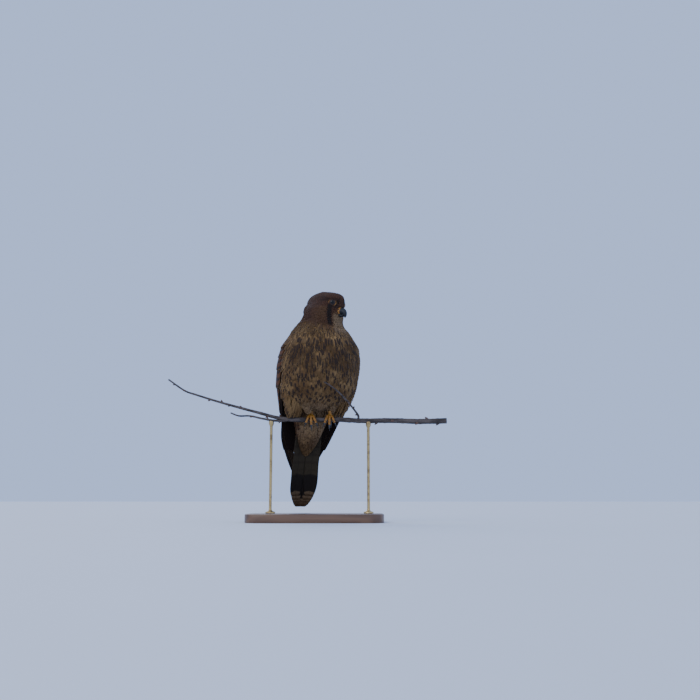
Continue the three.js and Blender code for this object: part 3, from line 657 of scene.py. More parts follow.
def flank_feathers(side):
    """Breast feathers that lap over a folded wing's front edge: rows down it, each higher than the last."""
    s = SIDES[side]
    rng = np.random.default_rng(60 + s)
    height, row = (grid.ravel() for grid in np.meshgrid(np.arange(117, 12, -3.4), np.arange(5)))
    height = height + rng.uniform(-1.2, 1.2, len(row))
    start = wing_front(height) - 25 + 4.4 * row - 5 * smooth(height, 96, 112)
    start = start - 24 * smooth(-height, -48, -18) + rng.uniform(-3.5, 2.0, len(row))
    root = np.stack([height, start], -1)
    tip = np.stack([height - FLANK_LENGTH, start + 4.5 + rng.uniform(-2, 2, len(row))], -1)
    width = rng.uniform(6.5, 8.5, len(row))

    def tuck(at):
        """How far the rows in front draw in below the belly, where the body's slices close."""
        return np.minimum(12, 45 * (1 - kept_share(at))) * (1 - row / 4)

    lifts = np.stack([0.1 * row - 0.7 - tuck(root[:, 0]), 0.5 + 0.3 * row - tuck(tip[:, 0])], -1)

    def surface(at, turn, lift):
        return outline(at, s * turn, lift)

    shape = long_feathers(surface, root, tip, width, lifts, FLANK_GRID, 0.45, 61 + s)
    roots = surface(root[:, 0], root[:, 1], 0 * row)
    size = len(shape.points) // len(roots)
    marks = {key: np.repeat(value, size) for key, value in markings(roots).items()}
    marks |= {"marked": np.ones(len(shape.points)), "pale": np.zeros(len(shape.points))}
    along, across, tone = (shape.values[key] for key in ("along", "across", "tone"))
    u, v = (np.repeat(place, size) for place in body_unwrap(roots))
    marks |= {"u": u + PATCH_WIDE * across, "v": v + PATCH_LONG * along}
    return Shape(shape.points, shape.faces, along=along, across=across, tone=tone, **marks)


def with_atlas(shape, feathers):
    """Adds a bake map that gives each feather's two faces a rectangle of their own in a grid."""
    columns = int(np.ceil(np.sqrt(feathers * 3)))
    rows = int(np.ceil((feathers + 1) / columns))
    index = np.repeat(np.arange(feathers), len(shape.points) // feathers)
    across = shape.values["across"] * 0.23 + 0.25 + 0.5 * shape.values["under"]
    shape.values["u"] = (index % columns + across) / columns
    shape.values["v"] = (index // columns + 0.04 + 0.92 * shape.values["along"]) / rows
    return shape


# Each tier of a folded wing, from the primaries, deepest, up to the feathers of the shoulder. share runs
# from 0 at the wing's front edge to 1 at its back. A root and a tip are a height and a turn in degrees.

WING_TIERS = [
    {  # primaries
        "count": 10, "kind": 1.0, "pointed": 0.6,
        "root": lambda s: (46 + 0 * s, mix(92, 128, s)),
        "tip": lambda s: (-82 + 60 * s**1.7 + 8 * (s == 0), mix(128, 158, s)),
        "width": lambda s: mix(10, 15, s),
        "lifts": lambda s: (mix(-1.8, -0.7, s), mix(-1.6, 0.1, s)),
    },
    {  # secondaries and tertials
        "count": 10, "kind": 0.75, "pointed": 0.75,
        "root": lambda s: (84 + 0 * s, mix(88, 150, s)),
        "tip": lambda s: (mix(12, -6, s), mix(103, 165, s)),
        "width": lambda s: mix(16, 20, s),
        "lifts": lambda s: (mix(-0.8, 0.2, s), mix(0.5, 1.9, s)),
    },
    {  # greater coverts
        "count": 11, "kind": 0.5, "pointed": 0.78,
        "root": lambda s: (106 + 0 * s, mix(84, 146, s)),
        "tip": lambda s: (mix(42, 58, s), mix(87, 160, s)),
        "width": lambda s: mix(13, 17, s),
        "lifts": lambda s: (-0.6 + 0 * s, mix(1.5, 2.5, s)),
    },
    {  # median coverts
        "count": 11, "kind": 0.25, "pointed": 0.7,
        "root": lambda s: (113 + 0 * s, mix(86, 140, s)),
        "tip": lambda s: (mix(66, 78, s), mix(83, 156, s)),
        "width": lambda s: 14 + 0 * s,
        "lifts": lambda s: (-0.8 + 0 * s, mix(1.7, 2.6, s)),
    },
    {  # lesser coverts, lower row
        "count": 11, "kind": 0.2, "pointed": 0.65,
        "root": lambda s: (117 + 0 * s, mix(92, 134, s)),
        "tip": lambda s: (mix(84, 92, s), mix(81, 150, s)),
        "width": lambda s: 12.5 + 0 * s,
        "lifts": lambda s: (-1.0 + 0 * s, 2.1 + 0 * s),
    },
    {  # lesser coverts, upper row
        "count": 10, "kind": 0.15, "pointed": 0.6,
        "root": lambda s: (119.5 + 0 * s, mix(96, 128, s)),
        "tip": lambda s: (mix(98, 103, s), mix(82, 142, s)),
        "width": lambda s: 11 + 0 * s,
        "lifts": lambda s: (-1.0 + 0 * s, 1.9 + 0 * s),
    },
    {  # scapulars, over the join of wing and back
        "count": 8, "kind": 0.3, "pointed": 0.75,
        "root": lambda s: (mix(116, 112, s), mix(136, 168, s)),
        "tip": lambda s: (mix(72, 46, s), mix(150, 172, s)),
        "width": lambda s: 18 + 0 * s,
        "lifts": lambda s: (-0.5 + 0 * s, mix(3.6, 3.2, s)),
    },
]


WING_GRID, BED_GRID = (18, 7), (28, 14)


def wing(side):
    """A folded wing: a bed under the feathers, and the tiers laid on the outline over it."""
    s = SIDES[side]

    def surface(height, turn, lift):
        return outline(height, s * turn, lift)

    u, v = np.linspace(0, 1, BED_GRID[0])[:, None], np.linspace(0, 1, BED_GRID[1])[None]
    height = mix(118.5, -40, u) + 0 * v
    turn = mix(wing_front(height) + 2.5, wing_back(height) - 4, v)
    depth = mix(WING_DEPTH + 0.6, 1.8, smooth(u, 0.5, 0.85)) + 0 * v
    layers = [surface(height, turn, -0.9 + 0 * v), surface(height, turn, -depth)]
    bed_points = np.stack(layers).reshape(-1, 3)
    plain = {"along": 0.5, "across": 0.0, "under": 0.0, "reach": 20.0, "tone": 0.4, "kind": 0.4}
    values = {key: np.full(len(bed_points), value) for key, value in plain.items()}
    bed = Shape(bed_points, plate_faces(*BED_GRID), **values)
    tiers = []
    for number, tier in enumerate(WING_TIERS):
        share = np.linspace(0, 1, tier["count"])
        odd = np.random.default_rng(40 * number + (s > 0)).uniform(-0.5, 0.5, (tier["count"], 2))
        root = np.stack(tier["root"](share), -1)
        tip = np.stack(tier["tip"](share), -1) + odd * [2.0, 1.4]
        lifts = np.stack(tier["lifts"](share), -1) + 0.12 * odd[:, :1]
        width, seed = tier["width"](share), number * 2 + (s > 0)
        pointed, kind = tier["pointed"], tier["kind"]
        tiers.append(long_feathers(surface, root, tip, width, lifts, WING_GRID, pointed, seed, kind))
    feathers = with_atlas(Shape.joined(tiers), sum(tier["count"] for tier in WING_TIERS))
    bed.values["u"] = 0.9 + 0.09 * np.tile((v + 0 * u).ravel(), 2)
    bed.values["v"] = 0.93 + 0.06 * np.tile((u + 0 * v).ravel(), 2)
    return Shape.joined([feathers, bed])


TAIL_GRID = (40, 9)


def tail():
    """Twelve long feathers: the middle pair lies on top, and each pair further out is lower and shorter."""
    place = np.arange(TAIL["count"]) - (TAIL["count"] - 1) / 2
    out = np.abs(place)
    length = TAIL["length"] - 0.6 * out**2
    spread = (TAIL["width"] - TAIL["feather"]) / (TAIL["count"] - 1)
    root = np.stack([0 * place, place * 1.6], -1)
    tip = np.stack([length, place * spread], -1)
    level = -0.55 * out - 0.2 * (place > 0)
    lifts = np.stack([level, level], -1)
    width = np.full(TAIL["count"], TAIL["feather"])
    feathers = long_feathers(tail_point, root, tip, width, lifts, TAIL_GRID, 0.86, 77)
    return with_atlas(feathers, TAIL["count"])


# Bill, eyes and feet


def bill_parts():
    """The two mandibles, the cere and the nostril pits, whose dark is painted shade in the cere's openings,
    in the head's axes.
    """
    ridge = [[0, -23.0, -0.6], [0, -27, -0.6], [0, -30, -2.4], [0, -32, -5.8], [0, -32.2, -9.4]]
    upper_path = spline(ridge, 26)
    t = np.linspace(0, 1, 26)
    upper_radius = through([0, 0.3, 0.6, 0.85, 1], [4.7, 4.1, 3.0, 1.7, 0.3])(t)[:, None]
    upper = tube(upper_path, upper_radius, 24, flat=0.92, keel=0.25)
    teeth = [ball(np.array([1.8 * s, -28.8, -5.0]), np.array([0.6, 1.2, 1.5]), 12) for s in SIDES.values()]
    lower_path = spline([[0, -17, -5.2], [0, -22.6, -6.6], [0, -26.4, -7.2], [0, -29.4, -6.9]], 16)
    lower_radius = through([0, 0.6, 1], [2.9, 2.3, 1.0])(np.linspace(0, 1, 16))[:, None]
    lower = tube(lower_path, lower_radius, 16, flat=1.3)
    angle = np.linspace(0, 2 * np.pi, 28, endpoint=False)[None]
    way = np.linspace(0, 1, 12)[:, None]
    swell = 1 + 0.1 * np.sin(np.pi * way) - 0.07 * way - 0.25 * smooth(way, 0.86, 1)
    height = -1.2 + 5.2 * swell * np.sin(angle)
    cere = loft(xyz(5.1 * swell * np.cos(angle), -mix(16, 23.8, way), height), along=way)
    pit = np.array([0.75, 1.0, 0.85])
    # The nostrils are dark balls set in the cere: painted shade in its openings.
    nostrils = [ball(np.array([4.75 * s, -21.6, 0.6]), pit, 14) for s in SIDES.values()]
    return Shape.joined([upper, *teeth]), lower, cere, Shape.joined(nostrils)


def eye_frame(side):
    """The middle of an eye, and axes whose third is the way it looks."""
    s = SIDES[side]
    at = head_surface(EYE["turn"] * s, EYE["rise"])
    way = unit(at * np.array([1.15, 0.75, 0.4]))
    level = unit(np.cross([0.0, 0.0, 1.0], way))
    return at - way * EYE["sunk"], np.stack([level, np.cross(way, level), way], -1)


RING_STEPS, RING_SECTION = 40, 12


def eye_ring(side):
    """The bare rim of the lids: a flattened torus that hugs the eyeball, slightly narrower above."""
    middle, axes = eye_frame(side)
    turn = np.linspace(0, 2 * np.pi, RING_STEPS, endpoint=False)[:, None]
    section = np.linspace(0, 2 * np.pi, RING_SECTION, endpoint=False)[None]
    radius = 5.1 + 0.42 * np.cos(section)
    height = 3.6 + 0.4 * np.sin(section) - 0.25 * np.sin(turn)
    rings = xyz(radius * np.cos(turn), radius * np.sin(turn) * 0.95, height) @ axes.T + middle
    grid = np.arange(RING_STEPS * RING_SECTION).reshape(RING_STEPS, RING_SECTION)
    a, b = grid, np.roll(grid, -1, 1)
    faces = np.stack([a, b, np.roll(b, -1, 0), np.roll(a, -1, 0)], -1).reshape(-1, 4)
    return Shape(rings.reshape(-1, 3), faces, along=np.zeros(grid.size)).outward()


TOES = [
    {"name": "inner", "splay": -6.5, "sweep": 118, "hang": 2.5, "radius": 1.75, "claw": 9.5},
    {"name": "middle", "splay": -0.5, "sweep": 112, "hang": 5.5, "radius": 1.85, "claw": 10},
    {"name": "outer", "splay": 6, "sweep": 120, "hang": 2, "radius": 1.7, "claw": 8.5},
    {"name": "hind", "splay": 1, "sweep": -112, "hang": 1, "radius": 1.8, "claw": 10},
]
TWIG_RADIUS, GRIP_GAP = 3.2, 0.6


def foot_place(side):
    """Where a foot stands along the twig: under its ankle, which turns with the body."""
    return BODY_PLACE[0] + ANKLES[side] * np.cos(np.radians(BODY_TURN))


def toe_path(toe, side):
    """The line of a toe in the twig's axes: an arc over the twig from its top, then a short straight end."""
    reach = TWIG_RADIUS + GRIP_GAP + toe["radius"]
    t = np.array([-0.12, 0.15, 0.4, 0.65, 0.85, 1])
    angle = np.radians(90 + toe["sweep"] * t)
    x = foot_place(side) + toe["splay"] * SIDES[side] * (0.25 + 0.75 * t)
    arc = xyz(x, reach * np.cos(angle), reach * np.sin(angle))
    return np.vstack([arc, arc[-1] + unit(arc[-1] - arc[-2]) * toe["hang"]])


def foot(side):
    """A foot's palm, shank and toes: tubes whose radius swells at each pad and steps at each scale."""
    parts = []
    for toe in TOES:
        t = np.linspace(0, 1, 60)
        pads = 1.02 + 0.09 * np.cos(6 * np.pi * t) - 0.16 * t
        scales = 0.035 * np.abs(np.sin(t * np.pi * 15))
        closing = np.sqrt(np.clip(1 - (t - 0.93).clip(0) ** 2 * 120, 0.2, 1))
        radius = toe["radius"] * (pads + scales) * closing
        parts.append(tube(spline(toe_path(toe, side), 60), radius[:, None], 16))
    parts.append(ball(np.array([foot_place(side), 0.2, 6.0]), np.array([3.5, 3.7, 2.7]), 20))
    shank = xyz(foot_place(side), 0, np.linspace(5.2, 12.2, 20))
    parts.append(tube(shank, 2.15 + 0.07 * np.abs(np.sin(np.linspace(0, 12, 20)))[:, None], 16))
    return Shape.joined(parts)


def claws(side):
    """Tapered hooks from the toes' ends, each curving in under the twig as the square of the way along."""
    parts = []
    for toe in TOES:
        path = toe_path(toe, side)
        along = unit(path[-1] - path[-2])
        inward = np.array([0, np.sign(toe["sweep"]), 0])
        inward = unit(inward - along * (inward @ along))
        t = np.linspace(-0.12, 1, 18)[:, None]
        ahead = along * (0.35 + toe["claw"] * (t - 0.12 * t**2))
        hook = path[-1] + ahead + inward * toe["claw"] * 0.32 * t**2
        radius = mix(toe["radius"] * 0.8, 0.16, np.clip(t, 0, 1) ** 0.8)
        parts.append(tube(hook, radius * (1 - 0.25 * smooth(-t, -0.02, 0.1)), 12))
    return Shape.joined(parts)


# Twig and stand

TWIG_LINES = {
    "perch": [
        [184, 0, -1.5], [148, 1.5, -2.4], [106, 0.5, -1.2], [64, 0, -1.6], [34, 0, 0], [4, 0, 0], [-28, 0, 0],
        [-52, 0.5, 2.4], [-77, 1, 9], [-103, 2.5, 16], [-139, 3, 26], [-168, 2, 35], [-184, 1, 40.5],
        [-208, -1, 56.7],
    ],
    "perch_low_shoot": [
        [-38, -1.6, -0.6], [-54, -2.2, -1.8], [-74, -2.6, 1.2], [-92, -2, 5], [-108, -3, 5.2],
        [-119, -3.4, 9.2],
    ],
    "perch_front_shoot": [
        [60, 0, -0.4], [60, -6, 4.5], [55.5, -17, 10.5], [49, -30, 17.5], [35, -46, 31.5],
        [24, -54.5, 40], [13, -60, 46],
    ],
}
TWIG_RADII = {
    "perch": through([0, 0.22, 0.5, 0.62, 0.75, 1], [3.9, 3.5, 3.2, 2.3, 1.75, 1.1]),
    "perch_low_shoot": through([0, 1], [1.75, 1.05]),
    "perch_front_shoot": through([0, 1], [1.6, 0.75]),
}
TWIG_STEPS = {"perch": 420, "perch_low_shoot": 110, "perch_front_shoot": 120}
BUD_GAP = 17
BUDLESS_FROM, BUDLESS_TO = -46, 78


def twig(name):
    """A woody shoot: a tube with knots at even gaps and shallow bark ridges, and pointed buds along it."""
    count = TWIG_STEPS[name]
    path = spline(TWIG_LINES[name], count)
    t = np.linspace(0, 1, count)
    radius = TWIG_RADII[name](t)[:, None]
    rings = tube_rings(path, radius, 20)
    middle = path[:, None]
    out = rings - middle
    knots = 0.07 * np.exp(-(((t * count / 26) % 1 - 0.5) ** 2) / 0.006)[:, None]
    bark = 0.045 * ripple(rings * [0.35, 1, 1], 1.3, 5) + 0.03 * ripple(rings, 5, 9) + knots
    if name == "perch":
        bark = bark * (1 - 0.8 * between(path[:, 0], -16, 30, 4))[:, None]
    rings = middle + out * (1 + bark)[..., None]
    stem = loft(rings, along=t[:, None], bud=np.zeros((count, 1)))
    return Shape.joined([stem, *buds(path, radius[:, 0], name)])


def buds(path, radius, name):
    """Pointed swellings on alternate sides of a shoot, each with its own size and lean."""
    rng = np.random.default_rng(len(name))
    length = np.linalg.norm(np.diff(path, axis=0), axis=1).sum()
    count = int(length / BUD_GAP)
    parts = []
    for i in range(count):
        k = int((i + 0.5 + rng.uniform(-0.2, 0.2)) / count * (len(path) - 2))
        if name == "perch" and BUDLESS_FROM < path[k, 0] < BUDLESS_TO:
            continue
        along = unit(path[k + 1] - path[k])
        turn = i * 2.6 + rng.uniform(0, 0.8)
        side = unit(np.cross(along, [0.0, np.cos(turn), np.sin(turn)]))
        size = radius[k] * 0.75 + 1.6
        way = unit(side + along * 0.9)
        level = unit(np.cross(way, along))
        axes = np.stack([level, np.cross(way, level), way], -1)
        t = np.linspace(0, 1, 12)[:, None]
        angle = np.linspace(0, 2 * np.pi, 12, endpoint=False)[None]
        r = size * 0.42 * np.sin(np.pi * (0.32 + 0.67 * t)) ** 0.8 * (1 + 0.05 * np.cos(3 * angle + 6 * t))
        p = xyz(r * np.cos(angle), r * np.sin(angle), size * 1.5 * t + 0 * angle) @ axes.T
        parts.append(loft(p + path[k] + side * radius[k] * 0.55, along=t, bud=np.ones((12, 1))))
    return parts


BASE_WIDE, BASE_DEEP, BASE_HIGH, BASE_CORNER = 95, 65, 12, 7
RODS = {"left": (74, 140.5), "right": (-62, 142.5)}


def stand_base():
    """A plate with round corners and rounded edges: superellipse rings from the underside to the top."""
    angle = np.linspace(0, 2 * np.pi, 120, endpoint=False)[None]
    inset = np.array([12, 3, 1, 0.25, 0, 0, 0.3, 1, 2.2, 12])[:, None]
    height = np.array([0, 0, 0, 0.3, 1.2, 10.4, 11.4, 11.9, BASE_HIGH, BASE_HIGH])[:, None]
    c, s = np.cos(angle), np.sin(angle)
    scale = (np.abs(c) ** BASE_CORNER + np.abs(s) ** BASE_CORNER) ** (-1 / BASE_CORNER)
    rings = xyz((BASE_WIDE - inset) * c * scale, (BASE_DEEP - inset) * s * scale, height + 0 * c)
    return loft(rings, along=height / BASE_HIGH)


def stand_rod(x, top):
    """A rod turned from a profile of radii and heights: a foot plate below, a socket for the twig above."""
    radius = np.array([6.2, 6.9, 7, 6.8, 3.2, 2.3, 2.0, 2.0, 2.05, 3.0, 3.5, 3.6, 3.45])
    socket = [top - 10, top - 8, top - 6.5, top - 2, top - 1.4]
    height = np.array([12.2, 12.3, 12.8, 14.4, 15.6, 16.8, 19, 60, *socket])[:, None]
    angle = np.linspace(0, 2 * np.pi, 36, endpoint=False)[None]
    across, back = radius[:, None] * np.cos(angle), radius[:, None] * np.sin(angle)
    rings = xyz(x + across, TWIG_PLACE[1] + back, height + 0 * angle)
    return loft(rings, along=height / TWIG_PLACE[2])


# Materials


class Signal:
    """A socket's value in a material, on which Python's operators add Math nodes."""

    def __init__(self, finish, socket):
        self.finish, self.socket = finish, socket

    def maths(self, operation, *values):
        return self.finish.node("ShaderNodeMath", {"operation": operation}, dict(enumerate(values)))

    def __add__(self, other):
        return self.maths("ADD", self, other)

    def __radd__(self, other):
        return self.maths("ADD", other, self)

    def __sub__(self, other):
        return self.maths("SUBTRACT", self, other)

    def __rsub__(self, other):
        return self.maths("SUBTRACT", other, self)

    def __mul__(self, other):
        return self.maths("MULTIPLY", self, other)

    def __rmul__(self, other):
        return self.maths("MULTIPLY", other, self)

    def __abs__(self):
        return self.maths("ABSOLUTE", self)

    def sine(self):
        return self.maths("SINE", self)

    def ease(self, low, high):
        """0 below low and 1 above high, or the other way round if low is above high, eased between them."""
        limits = {"Value": self, "From Min": min(low, high), "From Max": max(low, high)}
        limits |= {"To Min": float(low > high), "To Max": float(low < high)}
        return self.finish.node("ShaderNodeMapRange", {"interpolation_type": "SMOOTHSTEP"}, limits)


class Finish:
    """One material under construction."""

    def __init__(self, name, roughness=0.6, **constants):
        self.material = bpy.data.materials.new(name)
        self.material.use_nodes = True
        self.tree = self.material.node_tree
        self.shader = self.tree.nodes["Principled BSDF"]
        self.shader.inputs["Roughness"].default_value = roughness
        for key, value in constants.items():
            self.shader.inputs[key.replace("_", " ").title().replace("Ior", "IOR")].default_value = value

    def node(self, kind, settings=None, inputs=None, output=0):
        """Adds a node: its settings first, then values or links of its sockets, and gives one output."""
        made = self.tree.nodes.new(kind)
        for key, value in (settings or {}).items():
            setattr(made, key, value)
        for key, value in (inputs or {}).items():
            self.put(made.inputs[key], value)
        return Signal(self, made.outputs[output])

    def put(self, socket, value):
        """Links a signal to a socket or sets the socket's value, where a colour also gets its alpha."""
        if isinstance(value, Signal):
            self.tree.links.new(value.socket, socket)
        elif socket.type == "RGBA":
            socket.default_value = (*value, 1)
        else:
            socket.default_value = value

    def value(self, name):
        """A value that the piece's mesh carries."""
        return self.node("ShaderNodeAttribute", {"attribute_name": name}, output="Fac")

    def place(self, scale=(1, 1, 1)):
        """Object coordinates in metres, stretched."""
        at = self.node("ShaderNodeTexCoord", output="Object")
        return self.node("ShaderNodeMapping", inputs={"Vector": at, "Scale": scale})

    def noise(self, scale, detail=3.0, stretch=(1, 1, 1)):
        """Noise about 0.5 with a scale in ripples per metre."""
        sockets = {"Vector": self.place(stretch), "Scale": scale, "Detail": detail}
        return self.node("ShaderNodeTexNoise", inputs=sockets, output="Fac")

    def blend(self, factor, a, b):
        """Colour a where the factor is 0 and b where it is 1."""
        return self.node("ShaderNodeMix", {"data_type": "RGBA"}, {0: factor, 6: a, 7: b}, output=2)

    def shade(self, colour, factor):
        """A colour times a grey value."""
        grey = self.node("ShaderNodeCombineColor", inputs={0: factor, 1: factor, 2: factor})
        settings = {"data_type": "RGBA", "blend_type": "MULTIPLY"}
        return self.node("ShaderNodeMix", settings, {0: 1.0, 6: colour, 7: grey}, output=2)

    def done(self, colour, roughness=None, height=None, strength=0.3, distance=0.0003):
        """Links what varies to the shader and gives the material."""
        self.put(self.shader.inputs["Base Color"], colour)
        if roughness is not None:
            self.put(self.shader.inputs["Roughness"], roughness)
        if height is not None:
            sockets = {"Strength": strength, "Distance": distance, "Height": height}
            self.put(self.shader.inputs["Normal"], self.node("ShaderNodeBump", inputs=sockets))
        return self.material


def ground_colour(finish, colours):
    """The plumage's colour without the marks of single feathers, from the values that the piece carries."""
    ground = finish.blend(finish.noise(45, 4).ease(0.35, 0.8), colours.buff, colours.cream)
    ground = finish.blend(finish.value("pale") * 0.85, ground, colours.throat)
    ground = finish.blend(finish.value("upper"), ground, colours.chestnut)
    return finish.blend(finish.value("crown"), ground, colours.crown)


def skin_finish(colours):
    finish = Finish("under_plumage", 0.85)
    ground = ground_colour(finish, colours)
    # dark brings the face's marks, painted shade under the brow and painted shade under the tail.
    ground = finish.blend(finish.value("dark"), ground, colours.dark)
    ground = finish.shade(ground, finish.noise(300, 4) * 0.5 + 0.35)
    return finish.done(ground, height=finish.noise(900, 4), strength=0.5)


def coat_finish(colours):
    """Body feathers: a dark streak along the shaft on the breast, a drop near the tip on the belly, bars on
    the back, fine streaks on the crown, and barbs as slanting ridges."""
    finish = Finish("body_feathers", 0.8, specular_ior_level=0.25)
    along, across, tone = finish.value("along"), abs(finish.value("across")), finish.value("tone")
    ground = ground_colour(finish, colours)
    strong = tone.ease(0.25, 0.5)
    streak = across.ease(0.46, 0.24) * along.ease(0.35, 0.55) * along.ease(1.0, 0.93) * (0.4 + 0.6 * strong)
    drop = across.ease(0.5, 0.3) * along.ease(0.58, 0.7) * along.ease(0.97, 0.9) * tone.ease(0.4, 0.6)
    mark = finish.value("drop") * (drop - streak) + streak
    below = (1 - finish.value("upper")) * (1 - finish.value("crown")) * finish.value("marked")
    bars = ((along * 21 + across * 2.2).sine()).ease(0.1, 0.55) * finish.value("upper")
    lines = across.ease(0.5, 0.2) * along.ease(0.25, 0.5) * finish.value("crown") * 0.7
    edges = across.ease(0.4, 0.85) * below * (0.35 + 0.45 * finish.value("nape"))
    ground = finish.blend(edges, ground, colours.cream)
    ground = finish.blend(mark * below * 0.95, ground, colours.streak)
    ground = finish.blend(bars * 0.85, ground, colours.streak)
    ground = finish.blend(lines, ground, colours.streak)
    # dark brings the face's marks, painted shade under the brow and painted shade under the tail.
    ground = finish.blend(finish.value("dark") * (tone * 0.3 + 0.7), ground, colours.dark)
    ground = finish.shade(ground, tone * 0.3 + 0.78)
    barbs = ((along * 190 + across * 26).sine()) * 0.3 + finish.noise(1500, 2) * 0.7
    return finish.done(ground, height=barbs, strength=0.35, distance=0.0002)


def wing_finish(colours):
    """Wing feathers: coverts are chestnut with dark bars, primaries dark brown with pale notches."""
    finish = Finish("wing_feathers", 0.72, specular_ior_level=0.15)
    along, side, tone = finish.value("along"), finish.value("across"), finish.value("tone")
    across, kind, reach = abs(side), finish.value("kind"), finish.value("reach")
    flight = kind.ease(0.8, 0.95)
    wave = (reach * 0.62 + across * -1.6 + tone * 1.5).sine()
    bars = wave.ease(0.0, 0.5) * (1 - flight)
    notch = wave.ease(0.1, 0.6) * side.ease(0.1, 0.5) * flight * along.ease(0.9, 0.7)
    rim = across.ease(0.82, 0.97) * 0.6
    edge = rim.maths("MAXIMUM", rim, along.ease(0.955, 0.99))
    ground = finish.blend(flight, colours.chestnut, colours.flight)
    ground = finish.blend(bars * 0.9, ground, colours.streak)
    ground = finish.blend(notch * 0.35, ground, colours.chestnut)
    ground = finish.blend(edge * (0.35 + 0.3 * flight), ground, colours.cream)
    ground = finish.blend(across.ease(0.07, 0.02) * 0.6, ground, colours.dark)
    ground = finish.shade(ground, tone * 0.22 + 0.8 + finish.noise(260, 3) * 0.15)
    barbs = (reach * 5.5 - across * 9.0).sine()
    return finish.done(ground, height=barbs, strength=0.3, distance=0.0002)


def tail_finish(colours):
    """Tail feathers: narrow bars, a broad dark band before a pale tip, and painted shade darkening the
    underside.
    """
    finish = Finish("tail_feathers", 0.72, specular_ior_level=0.15)
    across, tone, reach = abs(finish.value("across")), finish.value("tone"), finish.value("reach")
    below = finish.value("under")
    bars = ((reach * 0.52 + across * -0.5 + 0.8).sine()).ease(0.35, 0.75) * reach.ease(36, 42)
    ragged = reach + across * 2.0 + finish.noise(300, 2) * 3
    band = ragged.ease(8, 10) * ragged.ease(36, 33)
    # The underside takes a far darker colour than the top: painted shade under the tail.
    ground = finish.blend(below, colours.tail_upper, colours.shaded_tail_under)
    ground = finish.blend(bars * (0.8 - 0.45 * below), ground, colours.streak)
    ground = finish.blend(band * 0.92, ground, colours.dark)
    ground = finish.blend(ragged.ease(9.5, 8), ground, colours.tail_tip)
    ground = finish.blend(across.ease(0.06, 0.015) * 0.5, ground, colours.dark)
    ground = finish.shade(ground, tone * 0.15 + 0.85)
    barbs = (reach * 5.5 - across * 9.0).sine()
    return finish.done(ground, height=barbs, strength=0.3, distance=0.0002)


def yellow_finish(colours):
    finish = Finish("yellow_skin", 0.45, subsurface_weight=0.1, subsurface_scale=0.001)
    sockets = {"Vector": finish.place(), "Scale": 1100.0}
    cells = finish.node("ShaderNodeTexVoronoi", {"feature": "DISTANCE_TO_EDGE"}, sockets)
    ground = finish.blend(finish.noise(350, 3), colours.skin, colours.skin_deep)
    ground = finish.blend(cells.ease(0.12, 0.0) * 0.45, ground, colours.streak)
    return finish.done(ground, height=cells.ease(0, 0.25), strength=0.5)


def bill_finish(colours):
    finish = Finish("bill_horn", 0.45, specular_ior_level=0.3)
    tip = finish.value("along").ease(0.25, 0.75)
    ground = finish.blend(tip, colours.bill, colours.claw)
    ground = finish.shade(ground, finish.noise(500, 4) * 0.4 + 0.8)
    worn, grain = finish.noise(700, 3) * 0.2 + 0.4, finish.noise(900, 3)
    return finish.done(ground, roughness=worn, height=grain, strength=0.1)


def claw_finish(colours):
    finish = Finish("claw_horn", 0.25, coat_weight=0.3)
    root = finish.value("along").ease(0.5, 0.0)
    ground = finish.shade(finish.blend(root, colours.claw, colours.bill), 0.9)
    return finish.done(ground, height=finish.noise(900, 3, (1, 1, 0.3)), strength=0.12)


def eye_finish(colours):
    """The eyeball: a black pupil in a dark brown iris, told apart by the way from its pole."""
    finish = Finish("eye", 0.06, ior=1.34)
    pole = finish.value("along")
    ground = finish.blend(pole.ease(0.86, 0.845), (0.004, 0.004, 0.005), colours.iris)
    return finish.done(ground)


def bark_finish(colours):
    finish = Finish("bark", 0.8)
    grain = finish.noise(260, 6, (0.25, 1, 1))
    ground = finish.blend(grain.ease(0.35, 0.65), colours.bark, colours.bark_pale)
    sockets = {"Vector": finish.place((0.6, 1, 1)), "Scale": 420.0}
    spots = finish.node("ShaderNodeTexVoronoi", inputs=sockets).ease(0.16, 0.08)
    ground = finish.blend(spots * 0.6, ground, colours.bark_pale)
    ground = finish.blend(finish.value("bud") * 0.7, ground, colours.bud)
    return finish.done(ground, height=grain + spots * 0.4, strength=0.7, distance=0.0005)


def wood_finish(colours):
    finish = Finish("stand_wood", 0.4, coat_weight=0.2)
    sockets = {"Vector": finish.place((0.12, 1, 1)), "Scale": 17.0}
    sockets |= {"Distortion": 11.0, "Detail": 5.0, "Detail Scale": 2.2}
    settings = {"wave_type": "BANDS", "bands_direction": "Y"}
    rings = finish.node("ShaderNodeTexWave", settings, sockets, output="Fac")
    fibre = finish.noise(900, 4, (0.04, 1, 1))
    ground = finish.blend(rings * 0.6 + fibre * 0.4, colours.wood, colours.wood_pale)
    return finish.done(ground, roughness=fibre * 0.15 + 0.35, height=fibre, strength=0.12)


def brass_finish(colours):
    finish = Finish("stand_brass", 0.35, metallic=1.0)
    worn = finish.noise(120, 5)
    ground = finish.blend(worn.ease(0.45, 0.7), colours.brass, colours.brass_dull)
    brushed = finish.noise(1500, 2, (1, 1, 0.02))
    return finish.done(ground, roughness=worn * 0.3 + 0.2, height=brushed, strength=0.06)


def floor_finish(colours):
    finish = Finish("floor", 0.75)
    dimmed = tuple(0.97 * c for c in colours.floor)
    return finish.done(finish.blend(finish.noise(6, 3), colours.floor, dimmed))


# What a user can change


def colour_property(name, description, value):
    return bpy.props.FloatVectorProperty(
        name=name, description=description, subtype="COLOR", size=3, min=0, max=1, default=value
    )


